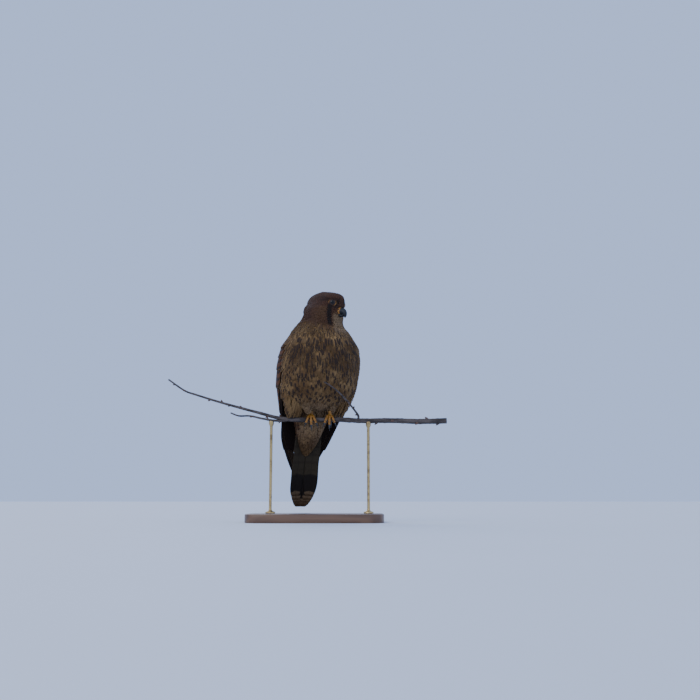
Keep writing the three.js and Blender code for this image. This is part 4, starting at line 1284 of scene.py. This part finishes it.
class KestrelColours(bpy.types.PropertyGroup):
    # The plumage and bill colours are set darker than the bird's own in daylight: painted shade over the
    # whole bird.
    buff: colour_property("Buff", "Underparts between the streaks", (0.11, 0.055, 0.017))
    cream: colour_property("Cream", "Paler patches and feather edges", (0.29, 0.172, 0.066))
    throat: colour_property("Throat", "Throat, thighs and vent", (0.25, 0.165, 0.09))
    crown: colour_property("Crown", "Head", (0.105, 0.044, 0.022))
    chestnut: colour_property("Chestnut", "Back and wing coverts", (0.098, 0.037, 0.014))
    streak: colour_property("Streak", "Streaks, spots and bars", (0.022, 0.012, 0.008))
    dark: colour_property("Dark", "Stripe below the eye and tail band", (0.012, 0.009, 0.008))
    flight: colour_property("Flight", "Primaries", (0.022, 0.017, 0.014))
    tail_upper: colour_property("Tail above", "Upper side of the tail", (0.15, 0.068, 0.03))
    # Far darker than the top: painted shade on the tail's underside.
    shaded_tail_under: colour_property("Tail below", "Underside of the tail", (0.042, 0.032, 0.019))
    tail_tip: colour_property("Tail tip", "Pale end of the tail", (0.13, 0.088, 0.05))
    skin: colour_property("Skin", "Cere, eye rims and feet", (0.45, 0.2, 0.022))
    skin_deep: colour_property("Deep skin", "Creases of the bare skin", (0.28, 0.11, 0.01))
    bill: colour_property("Bill", "Root of the bill", (0.02, 0.023, 0.026))
    claw: colour_property("Claw", "Claws and the bill's tip", (0.012, 0.012, 0.014))
    iris: colour_property("Iris", "Ring round the pupil", (0.035, 0.016, 0.008))
    bark: colour_property("Bark", "Bark in the furrows", (0.028, 0.021, 0.019))
    bark_pale: colour_property("Pale bark", "Bark on the ridges", (0.1, 0.078, 0.068))
    bud: colour_property("Bud", "Buds", (0.13, 0.06, 0.035))
    wood: colour_property("Wood", "Dark bands of the base", (0.085, 0.04, 0.02))
    wood_pale: colour_property("Pale wood", "Light bands of the base", (0.19, 0.10, 0.05))
    brass: colour_property("Brass", "Bright metal of the rods", (0.56, 0.40, 0.17))
    brass_dull: colour_property("Dull brass", "Aged metal of the rods", (0.30, 0.20, 0.09))
    floor: colour_property("Floor", "Floor under the stand", (0.66, 0.7, 0.77))
    sky: colour_property("Surround", "Light from all round", (0.42, 0.55, 0.88))


class KestrelSizes(bpy.types.PropertyGroup):
    breast_spacing: bpy.props.FloatProperty(
        name="Breast spacing", description="Millimetres between feathers of the breast", default=5.3, min=2
    )
    head_spacing: bpy.props.FloatProperty(
        name="Head spacing", description="Millimetres between feathers of the head", default=1.9, min=1
    )
    skin_cell: bpy.props.FloatProperty(
        name="Skin cell", description="Size of the skin's faces in millimetres", default=1.6, min=0.8
    )
    camera_distance: bpy.props.FloatProperty(
        name="Camera distance", description="From the middle of the view", default=1.35, unit="LENGTH"
    )
    camera_rise: bpy.props.FloatProperty(
        name="Camera rise", description="How far up the camera looks", default=np.radians(9),
        subtype="ANGLE"
    )


# Operators


def rough_body():
    """Closed lofts that overlap where the bird's parts join, for the skin to be wrapped round."""
    height = np.linspace(14, 153, 60)[:, None]
    turn = np.linspace(-180, 180, 60, endpoint=False)[None]
    keep = kept_share(height)[..., None]
    middle = xyz(0 * height, SLICES["wide"](height) - 4, height)
    inner = outline(height + 0 * turn, turn + 0 * height, -2.0 + 0 * height * turn)
    trunk = loft(middle + (inner - middle) * keep)
    skull = ball(HEAD_PLACE + [0, 0, 1], np.array([20.0, 21.0, 21.0]), 40)
    legs = []
    for side in SIDES:
        bone = spline([[mix(ANKLES[side], THIGHS[side], 0.35), -1, 11], [THIGHS[side], -11, 38]], 12)
        legs.append(tube(bone, np.linspace(4.5, 13, 12)[:, None], 20))
    way = np.linspace(0, 1, 20)[:, None]
    angle = np.linspace(0, 2 * np.pi, 30, endpoint=False)[None]
    wedges = []
    for face, reach, half, depth in COVERTS:
        deep = 0.5 * (depth(way) + 2) * coverts_taper(way)
        lift = face * (1.5 + deep * (1 + np.sin(angle))) - 1.6
        across = half(way) * coverts_taper(way) * np.cos(angle)
        wedges.append(loft(tail_point(mix(9, reach - 1, way) + 0 * angle, across, lift)))
    for part in (trunk, skull, *legs, *wedges):
        part.values = {}
    return Shape.joined([trunk, skull, *legs, *wedges])


def wrapped(shape, cell):
    """Points and quads of one surface round overlapping closed lofts."""
    mesh, _ = mesh_of("rough_body", shape.points, shape.faces)
    rough = bpy.data.objects.new("rough_body", mesh)
    bpy.context.scene.collection.objects.link(rough)
    remesh = rough.modifiers.new("Wrap", "REMESH")
    remesh.mode, remesh.voxel_size = "VOXEL", cell
    made = rough.evaluated_get(bpy.context.evaluated_depsgraph_get()).to_mesh()
    points = np.empty(len(made.vertices) * 3)
    made.vertices.foreach_get("co", points)
    faces = np.empty(len(made.loops), int)
    made.loops.foreach_get("vertex_index", faces)
    bpy.data.objects.remove(rough)
    bpy.data.meshes.remove(mesh)
    return points.reshape(-1, 3), faces.reshape(-1, 4)


class Builder:
    """What the operators share: the colours and sizes of the scene."""

    bl_options = {"REGISTER", "UNDO"}

    def execute(self, context):
        self.build(context.scene.kestrel_colours, context.scene.kestrel_sizes)
        return {"FINISHED"}


# The skin's mesh and points spread over it, which the feathers' operators share

SURFACE = {}
SURFACE_SAMPLES = 60000
SKIN_DEPTH = -1.3

# Where the zones of the coat meet, in millimetres and degrees

HEAD_EDGE = -19.5
NECK_LOW, BREAST_LOW, BELLY_LOW = 118, 70, 30
BACK_TURN = 104


def surface_points():
    """Points spread over the bird's surface, many in each small area, made once."""
    if "points" not in SURFACE:
        points, faces = SURFACE["skin"]
        rng = np.random.default_rng(3)
        a, b, c, d = (points[faces[:, i]] for i in range(4))
        area = np.linalg.norm(np.cross(c - a, d - b), axis=1)
        pick = rng.choice(len(faces), SURFACE_SAMPLES, p=area / area.sum())
        u, v = rng.uniform(0, 1, (2, SURFACE_SAMPLES, 1))
        SURFACE["points"] = mix(mix(a[pick], b[pick], u), mix(d[pick], c[pick], u), v)
    return SURFACE["points"]


def on_head(p):
    """Whether points in the bird's axes lie above the sloping plane where the head's feathers begin."""
    q = body_to_head(p)
    return q[:, 2] - 0.1 * q[:, 1] >= HEAD_EDGE


class KESTREL_OT_skin(Builder, bpy.types.Operator):
    """One skin under all body feathers, wrapped round the body's parts, a little inside its surface"""

    bl_idname = "kestrel.skin"
    bl_label = "Skin"

    def build(self, colours, sizes):
        points, faces = wrapped(rough_body(), sizes.skin_cell)
        points = settle(points, SKIN_DEPTH, 4)
        SURFACE["skin"] = points, faces
        shape = Shape(points, faces, **markings(points)).moved(body_to_world)
        nodes = ["torso", "neck", "head", "undertail_coverts", "uppertail_coverts"]
        nodes += ["thigh_left", "thigh_right"]
        make_piece("skin", shape, skin_finish(colours), nodes)


class KESTREL_OT_body_feathers(Builder, bpy.types.Operator):
    """The contour feathers of breast, belly, flanks, back, thighs and the coverts round the tail's root"""

    bl_idname = "kestrel.body_feathers"
    bl_label = "Body feathers"

    def build(self, colours, sizes):
        p = surface_points()
        turn, height = slice_turn(p), p[:, 2]
        free = under_wing(np.clip(height, TORSO_LOW, TORSO_HIGH), turn) < 0.35
        body = ~on_head(p) & (free | (height < TORSO_LOW + 1))
        neck, back = height > NECK_LOW, np.abs(turn) > BACK_TURN
        breast, belly = ~neck & ~back & (height > BREAST_LOW), ~back & (height <= BREAST_LOW)
        near = sizes.breast_spacing
        zones = {
            "neck": (neck, near * 0.72, 11, 5.5, 0.5),
            "breast": (breast, near, 19, 9.5, 0.8),
            "belly": (belly & (height > BELLY_LOW), near * 1.05, 20, 10.5, 0.9),
            "legs": (belly & (height <= BELLY_LOW), near * 0.75, 16, 6.0, 0.5),
            "back": (back & ~neck, near * 0.95, 19, 11, 0.7),
        }
        finish = coat_finish(colours)
        for number, (name, (mask, spacing, length, width, rise)) in enumerate(zones.items()):
            roots = scattered(p[body & mask], spacing, number)
            shape = body_feathers(roots, length, width, rise, number).moved(body_to_world)
            make_piece("feathers_" + name, shape, finish)
        for side in SIDES:
            shape = flank_feathers(side).moved(body_to_world)
            make_piece("feathers_flank_" + side, shape, finish)


class KESTREL_OT_head_feathers(Builder, bpy.types.Operator):
    """The short feathers of the head, smallest on the face, leaving the eyes and the bill's root free"""

    bl_idname = "kestrel.head_feathers"
    bl_label = "Head feathers"

    def build(self, colours, sizes):
        p = surface_points()
        p = p[on_head(p)]
        dense = np.repeat(p, 8, axis=0) + np.random.default_rng(8).normal(0, 1.0, (len(p) * 8, 3))
        dense = settle(dense, 0, 2)
        q = body_to_head(dense)
        eyes = [eye_frame(side)[0] for side in SIDES]
        near_eye = np.min([np.linalg.norm(q - middle, axis=-1) for middle in eyes], 0)
        bill = (np.hypot(q[:, 0] / 5.6, (q[:, 2] + 2.0) / 6.2) < 1) & (q[:, 1] < -14)
        free = (near_eye > EYE["radius"] + 0.3) & ~bill
        face = (q[:, 1] < -8) & (q[:, 2] < 14)
        finish = coat_finish(colours)
        crown_roots = scattered(dense[free & ~face], sizes.head_spacing, 21)
        face_roots = scattered(dense[free & face], sizes.head_spacing * 0.7, 22)
        crown = body_feathers(crown_roots, 8.0, 3.4, 0.35, 21, head_unwrap)
        small = body_feathers(face_roots, 4.0, 1.8, 0.12, 22, head_unwrap)
        make_piece("feathers_crown", crown.moved(body_to_world), finish)
        make_piece("feathers_face", small.moved(body_to_world), finish)


class KESTREL_OT_wings(Builder, bpy.types.Operator):
    """The folded wings: primaries, secondaries, three kinds of coverts and the scapulars"""

    bl_idname = "kestrel.wings"
    bl_label = "Wings"

    def build(self, colours, sizes):
        finish = wing_finish(colours)
        for side in SIDES:
            shape = wing(side).moved(body_to_world)
            make_piece("wing_feathers_" + side, shape, finish, ["wing_" + side])


class KESTREL_OT_tail(Builder, bpy.types.Operator):
    """The long folded tail with its dark band and pale tip"""

    bl_idname = "kestrel.tail"
    bl_label = "Tail"

    def build(self, colours, sizes):
        shape = tail().moved(body_to_world)
        make_piece("tail_feathers", shape, tail_finish(colours), ["tail"])


class KESTREL_OT_face(Builder, bpy.types.Operator):
    """The hooked bill, the cere with its nostrils, the eyes and the bare rims of the lids"""

    bl_idname = "kestrel.face"
    bl_label = "Bill and eyes"

    def build(self, colours, sizes):
        def place(p):
            return body_to_world(head_to_body(p))

        upper, lower, cere, nostrils = bill_parts()
        yellow = yellow_finish(colours)
        horn = bill_finish(colours)
        make_piece("bill_top", upper.moved(place), horn, ["bill_upper"])
        make_piece("bill_bottom", lower.moved(place), horn, ["bill_lower"])
        make_piece("cere_skin", cere.moved(place), yellow, ["cere"])
        # The nostrils' dark horn is painted shade in the cere's openings.
        make_piece("nostrils", nostrils.moved(place), claw_finish(colours))
        eye = eye_finish(colours)
        for side in SIDES:
            middle, axes = eye_frame(side)
            sphere = ball(middle, np.full(3, EYE["radius"]), 64, axes)
            make_piece("eyeball_" + side, sphere.moved(place), eye, ["eye_" + side])
            make_piece("eyelids_" + side, eye_ring(side).moved(place), yellow)


class KESTREL_OT_feet(Builder, bpy.types.Operator):
    """The feet that grip the twig, with scaled toes and hooked claws"""

    bl_idname = "kestrel.feet"
    bl_label = "Feet"

    def build(self, colours, sizes):
        yellow, horn = yellow_finish(colours), claw_finish(colours)
        for side in SIDES:
            toes = foot(side).moved(twig_to_world)
            make_piece("toes_" + side, toes, yellow, ["foot_" + side])
            nodes = [f"claw_{side}_{toe['name']}" for toe in TOES]
            make_piece("claws_" + side, claws(side).moved(twig_to_world), horn, nodes)


class KESTREL_OT_twig(Builder, bpy.types.Operator):
    """The cut twig with its side shoots and buds"""

    bl_idname = "kestrel.twig"
    bl_label = "Twig"

    def build(self, colours, sizes):
        finish = bark_finish(colours)
        for name in TWIG_LINES:
            make_piece("bark_" + name, twig(name).moved(twig_to_world), finish, [name])


class KESTREL_OT_stand(Builder, bpy.types.Operator):
    """The wooden base and the two rods that hold the twig"""

    bl_idname = "kestrel.stand"
    bl_label = "Stand"

    def build(self, colours, sizes):
        make_piece("base_plate", stand_base(), wood_finish(colours), ["stand_base"])
        brass = brass_finish(colours)
        for side, (x, top) in RODS.items():
            make_piece("rod_" + side, stand_rod(x, top), brass, ["stand_rod_" + side])


VIEW_MIDDLE = np.array([0.0483, -0.014, 0.241])
SENSOR_WIDTH, LENS = 36.0, 48.9
FLOOR_HALF = 30
SURROUND_STRENGTH = 1.2


class KESTREL_OT_stage(Builder, bpy.types.Operator):
    """The floor, the soft lights, the light all round and the camera"""

    bl_idname = "kestrel.stage"
    bl_label = "Stage"

    def build(self, colours, sizes):
        mesh = bpy.data.meshes.new("floor")
        h = FLOOR_HALF
        mesh.from_pydata([(-h, -h, 0), (h, -h, 0), (h, h, 0), (-h, h, 0)], [], [(0, 1, 2, 3)])
        mesh.materials.append(floor_finish(colours))
        floor = bpy.data.objects.new("floor", mesh)
        bpy.context.scene.collection.objects.link(floor)
        world = bpy.data.worlds.new("surround")
        world.use_nodes = True
        light = world.node_tree.nodes["Background"].inputs
        light["Color"].default_value = (*colours.sky, 1)
        light["Strength"].default_value = SURROUND_STRENGTH
        bpy.context.scene.world = world
        self.add_light("key", (-0.9, -1.3, 1.25), 0.8, 1.0, (1.0, 0.93, 0.85))
        self.add_light("fill", (1.3, -1.0, 0.7), 1.2, 0.3, (0.93, 0.96, 1.0))
        self.add_light("rim", (-0.5, 1.3, 1.4), 0.8, 0.9, (0.95, 0.98, 1.0))
        self.add_camera(sizes)

    def add_light(self, name, place, spread, power, colour):
        light = bpy.data.lights.new(name, "SUN")
        light.angle, light.energy, light.color = spread, power, colour
        self.aim(bpy.data.objects.new(name, light), np.array(place), np.array([0, 0, 0.2]))

    def add_camera(self, sizes):
        rise = sizes.camera_rise
        place = VIEW_MIDDLE - sizes.camera_distance * np.array([0, np.cos(rise), np.sin(rise)])
        camera = bpy.data.cameras.new("camera")
        camera.sensor_width, camera.lens = SENSOR_WIDTH, LENS
        camera.clip_start = 0.01
        thing = bpy.data.objects.new("camera", camera)
        self.aim(thing, place, VIEW_MIDDLE)
        bpy.context.scene.camera = thing

    def aim(self, thing, place, target):
        """Puts a light or camera in its place with its -Z towards the target and its Y up."""
        back = unit(place - target)
        side = unit(np.cross([0.0, 0.0, 1.0], back))
        axes = np.eye(4)
        axes[:3, 0], axes[:3, 1], axes[:3, 2], axes[:3, 3] = side, np.cross(back, side), back, place
        thing.matrix_world = axes.T
        bpy.context.scene.collection.objects.link(thing)


OPERATORS = [
    KESTREL_OT_stage,
    KESTREL_OT_skin,
    KESTREL_OT_body_feathers,
    KESTREL_OT_head_feathers,
    KESTREL_OT_wings,
    KESTREL_OT_tail,
    KESTREL_OT_face,
    KESTREL_OT_feet,
    KESTREL_OT_twig,
    KESTREL_OT_stand,
]


class KESTREL_PT_pieces(bpy.types.Panel):
    """The pieces of the kestrel, in the order they are made"""

    bl_label = "Kestrel"
    bl_space_type = "VIEW_3D"
    bl_region_type = "UI"
    bl_category = "Kestrel"

    def draw(self, context):
        for operator in OPERATORS:
            self.layout.operator(operator.bl_idname)


CLASSES = [KestrelColours, KestrelSizes, *OPERATORS, KESTREL_PT_pieces]


def register():
    for cls in CLASSES:
        bpy.utils.register_class(cls)
    bpy.types.Scene.kestrel_colours = bpy.props.PointerProperty(type=KestrelColours)
    bpy.types.Scene.kestrel_sizes = bpy.props.PointerProperty(type=KestrelSizes)


def unregister():
    del bpy.types.Scene.kestrel_colours
    del bpy.types.Scene.kestrel_sizes
    for cls in reversed(CLASSES):
        bpy.utils.unregister_class(cls)


def main():
    register()
    for operator in OPERATORS:
        group, name = operator.bl_idname.split(".")
        getattr(getattr(bpy.ops, group), name)()


if __name__ == "__main__":
    main()
